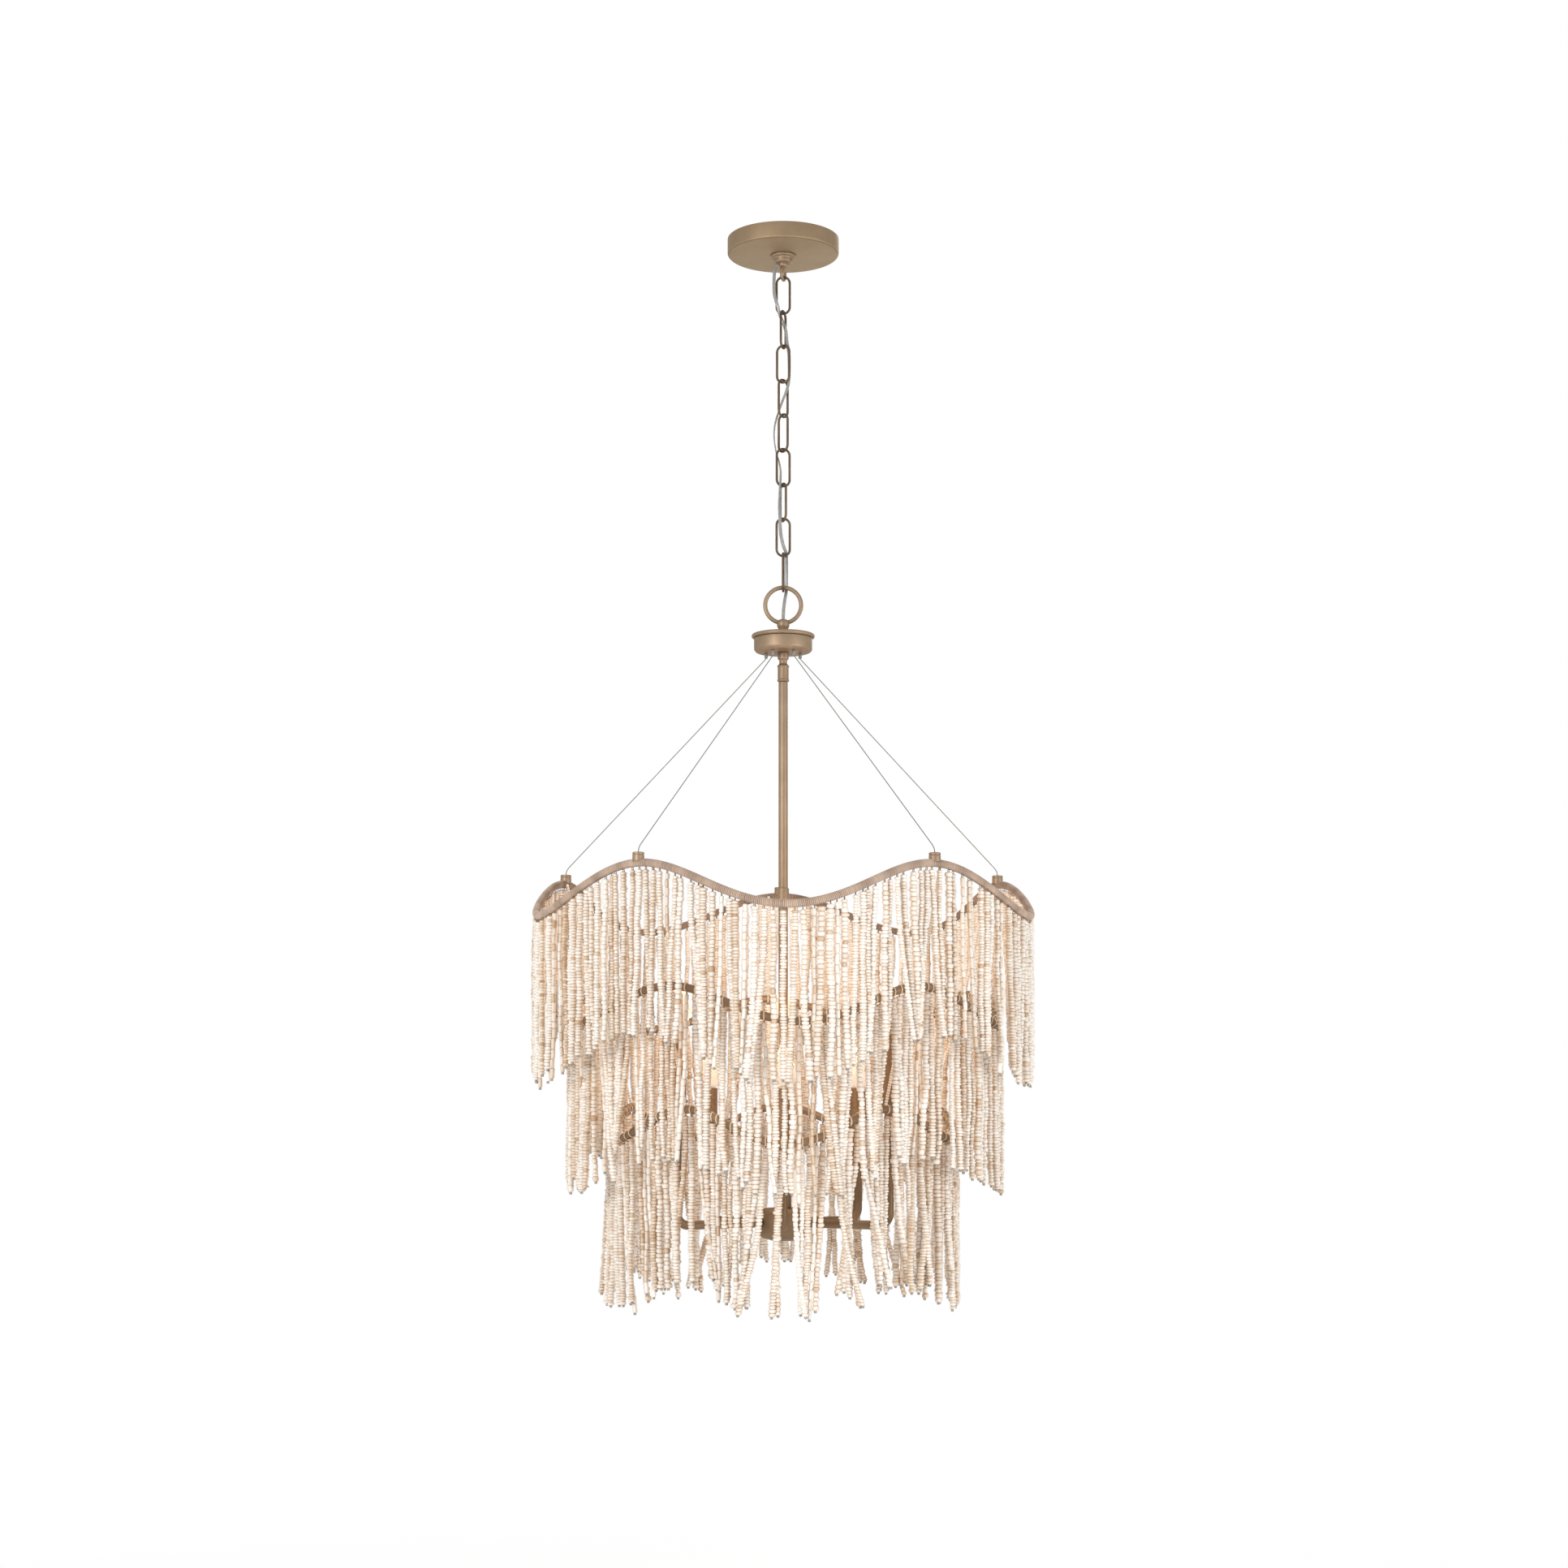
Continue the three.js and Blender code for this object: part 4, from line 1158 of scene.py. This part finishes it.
def twin_section(line):
    """Corners of two wires side by side under one skin."""
    flat_angle = FLAT_START + FLAT_SWING * np.sin(line[:, 2] / FLAT_STRETCH)
    hints = np.stack([np.cos(flat_angle), np.sin(flat_angle), 0 * flat_angle], -1)
    ways = tube(line, 1.0, CORD_SIDES, hint=hints) - line[:, None]
    wide = ways[:, [0]]
    thin = ways[:, [CORD_SIDES // 4]]
    dip = 1 - CORD_GROOVE_DEPTH * np.exp(-((np.cos(full_turn(CORD_SIDES)) / CORD_GROOVE_WIDTH) ** 2))
    half = CORD_WIDTH / 2
    across = (ways * wide).sum(-1) * half
    deep = (ways * thin).sum(-1) * half * CORD_FLAT * dip
    return line[:, None] + across[..., None] * wide + deep[..., None] * thin


cord_line = smooth_line(CORD_ROUTE, CORD_SPACING)
cord_corners = twin_section(cord_line)
joints = frame["joints"]
joint_heights = [j["pos_m"][2] / MM for j in joints]
# the pieces meet halfway between joints
cuts = [0]
for above, below in zip(joint_heights, joint_heights[1:]):
    cuts.append(int(np.argmin(np.abs(cord_line[:, 2] - (above + below) / 2))))
cuts.append(len(cord_line) - 1)
for index, joint in enumerate(joints):
    first, last = cuts[index], cuts[index + 1]
    mesh = Mesh()
    mesh.grid(cord_corners[first : last + 1])
    replaced = ["lamp_cord"] if index == 0 else []
    piece = mesh.finish(f"cord_{index + 1}", clear_cord, None, "clear_cord", replaced)
    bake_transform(piece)

# The hidden bar, nipple and nut keep their CAD shape
for node in ("mounting_bar", "canopy_nipple", "nipple_nut"):
    data = frame["nodes"][node].data
    data.materials.clear()
    data.materials.append(zinc)

# Floor, light and world
AMBIENT = 0.54
AMBIENT_COLOUR = (1.0, 0.985, 0.965, 1)
WHITE = (1, 1, 1, 1)
FLOOR_HEIGHT = -2.1
FLOOR_HALF = 60.0
FLOOR_GREY = (0.86, 0.86, 0.86, 1)
FLOOR_LIFT = 0.2
# the floor fades into the white background between these distances from the middle
FADE_START = 1.2
FADE_END = 3.2
LIT_PLACE = (0, 0, -0.75)


def reckon(tree, operation, first, second):
    """The result of a Math node on a socket and a second socket or number."""
    made = tree.nodes.new("ShaderNodeMath")
    made.operation = operation
    tree.links.new(first, made.inputs[0])
    if isinstance(second, bpy.types.NodeSocket):
        tree.links.new(second, made.inputs[1])
    else:
        made.inputs[1].default_value = second
    return made.outputs[0]


def ray_factor(tree):
    """1 for what the camera sees, straight, mirrored or through glass."""
    path = tree.nodes.new("ShaderNodeLightPath")
    mirrored = reckon(tree, "MAXIMUM", path.outputs["Is Camera Ray"], path.outputs["Is Glossy Ray"])
    return reckon(tree, "MAXIMUM", mirrored, path.outputs["Is Transmission Ray"])


def mix_shaders(tree, factor, first, second, output):
    """Mixes two shaders into the surface of an output node."""
    made = tree.nodes.new("ShaderNodeMixShader")
    tree.links.new(factor, made.inputs[0])
    tree.links.new(first.outputs[0], made.inputs[1])
    tree.links.new(second.outputs[0], made.inputs[2])
    tree.links.new(made.outputs[0], tree.nodes[output].inputs["Surface"])


def lamp(name, place, size, energy):
    """A soft square light that faces the middle of the chandelier."""
    light = placed(name, bpy.data.lights.new(name, "AREA"))
    light.data.size = size
    light.data.energy = energy
    light.location = place
    light.rotation_euler = (Vector(LIT_PLACE) - Vector(place)).to_track_quat("-Z", "Y").to_euler()


world = bpy.data.worlds.new("studio")
bpy.context.scene.world = world
world.use_nodes = True
soft = world.node_tree.nodes["Background"]
soft.inputs["Color"].default_value = AMBIENT_COLOUR
soft.inputs["Strength"].default_value = AMBIENT
white = world.node_tree.nodes.new("ShaderNodeBackground")
white.inputs["Color"].default_value = WHITE
mix_shaders(world.node_tree, ray_factor(world.node_tree), soft, white, "World Output")

floor_look = Look(
    "pale_floor", Roughness=0.9, Specular_IOR_Level=0.1, Base_Color=FLOOR_GREY, Emission_Color=WHITE
)
seen = ray_factor(floor_look.tree)
lift = reckon(floor_look.tree, "MULTIPLY", seen, FLOOR_LIFT)
floor_look.set(floor_look.shader, {"Emission Strength": lift})
flat_place = floor_look.node("ShaderNodeMapping", Vector=floor_look.place(), Scale=(1, 1, 0))
distance = floor_look.node(
    "ShaderNodeVectorMath", {"operation": "LENGTH"}, Vector=flat_place.outputs["Vector"]
)
fade = floor_look.node(
    "ShaderNodeMapRange",
    {"interpolation_type": "SMOOTHSTEP"},
    Value=distance.outputs["Value"],
    From_Min=FADE_START,
    From_Max=FADE_END,
)
faded = reckon(floor_look.tree, "MULTIPLY", fade.outputs["Result"], seen)
shine = floor_look.node("ShaderNodeEmission", Strength=1.0)
mix_shaders(floor_look.tree, faded, floor_look.shader, shine, "Material Output")

corners = [(x * FLOOR_HALF, y * FLOOR_HALF, FLOOR_HEIGHT) for x, y in ((-1, -1), (1, -1), (1, 1), (-1, 1))]
floor_mesh = bpy.data.meshes.new("floor")
floor_mesh.from_pydata(corners, [], [(0, 1, 2, 3)])
floor_mesh.materials.append(floor_look.material)
floor = placed("floor", floor_mesh)

lamp("key", (-1.9, -2.8, -0.4), size=1.3, energy=58)
lamp("fill", (2.9, -1.9, -1.2), size=1.6, energy=48)
lamp("back", (0.6, 3.0, 0.6), size=2.0, energy=44)
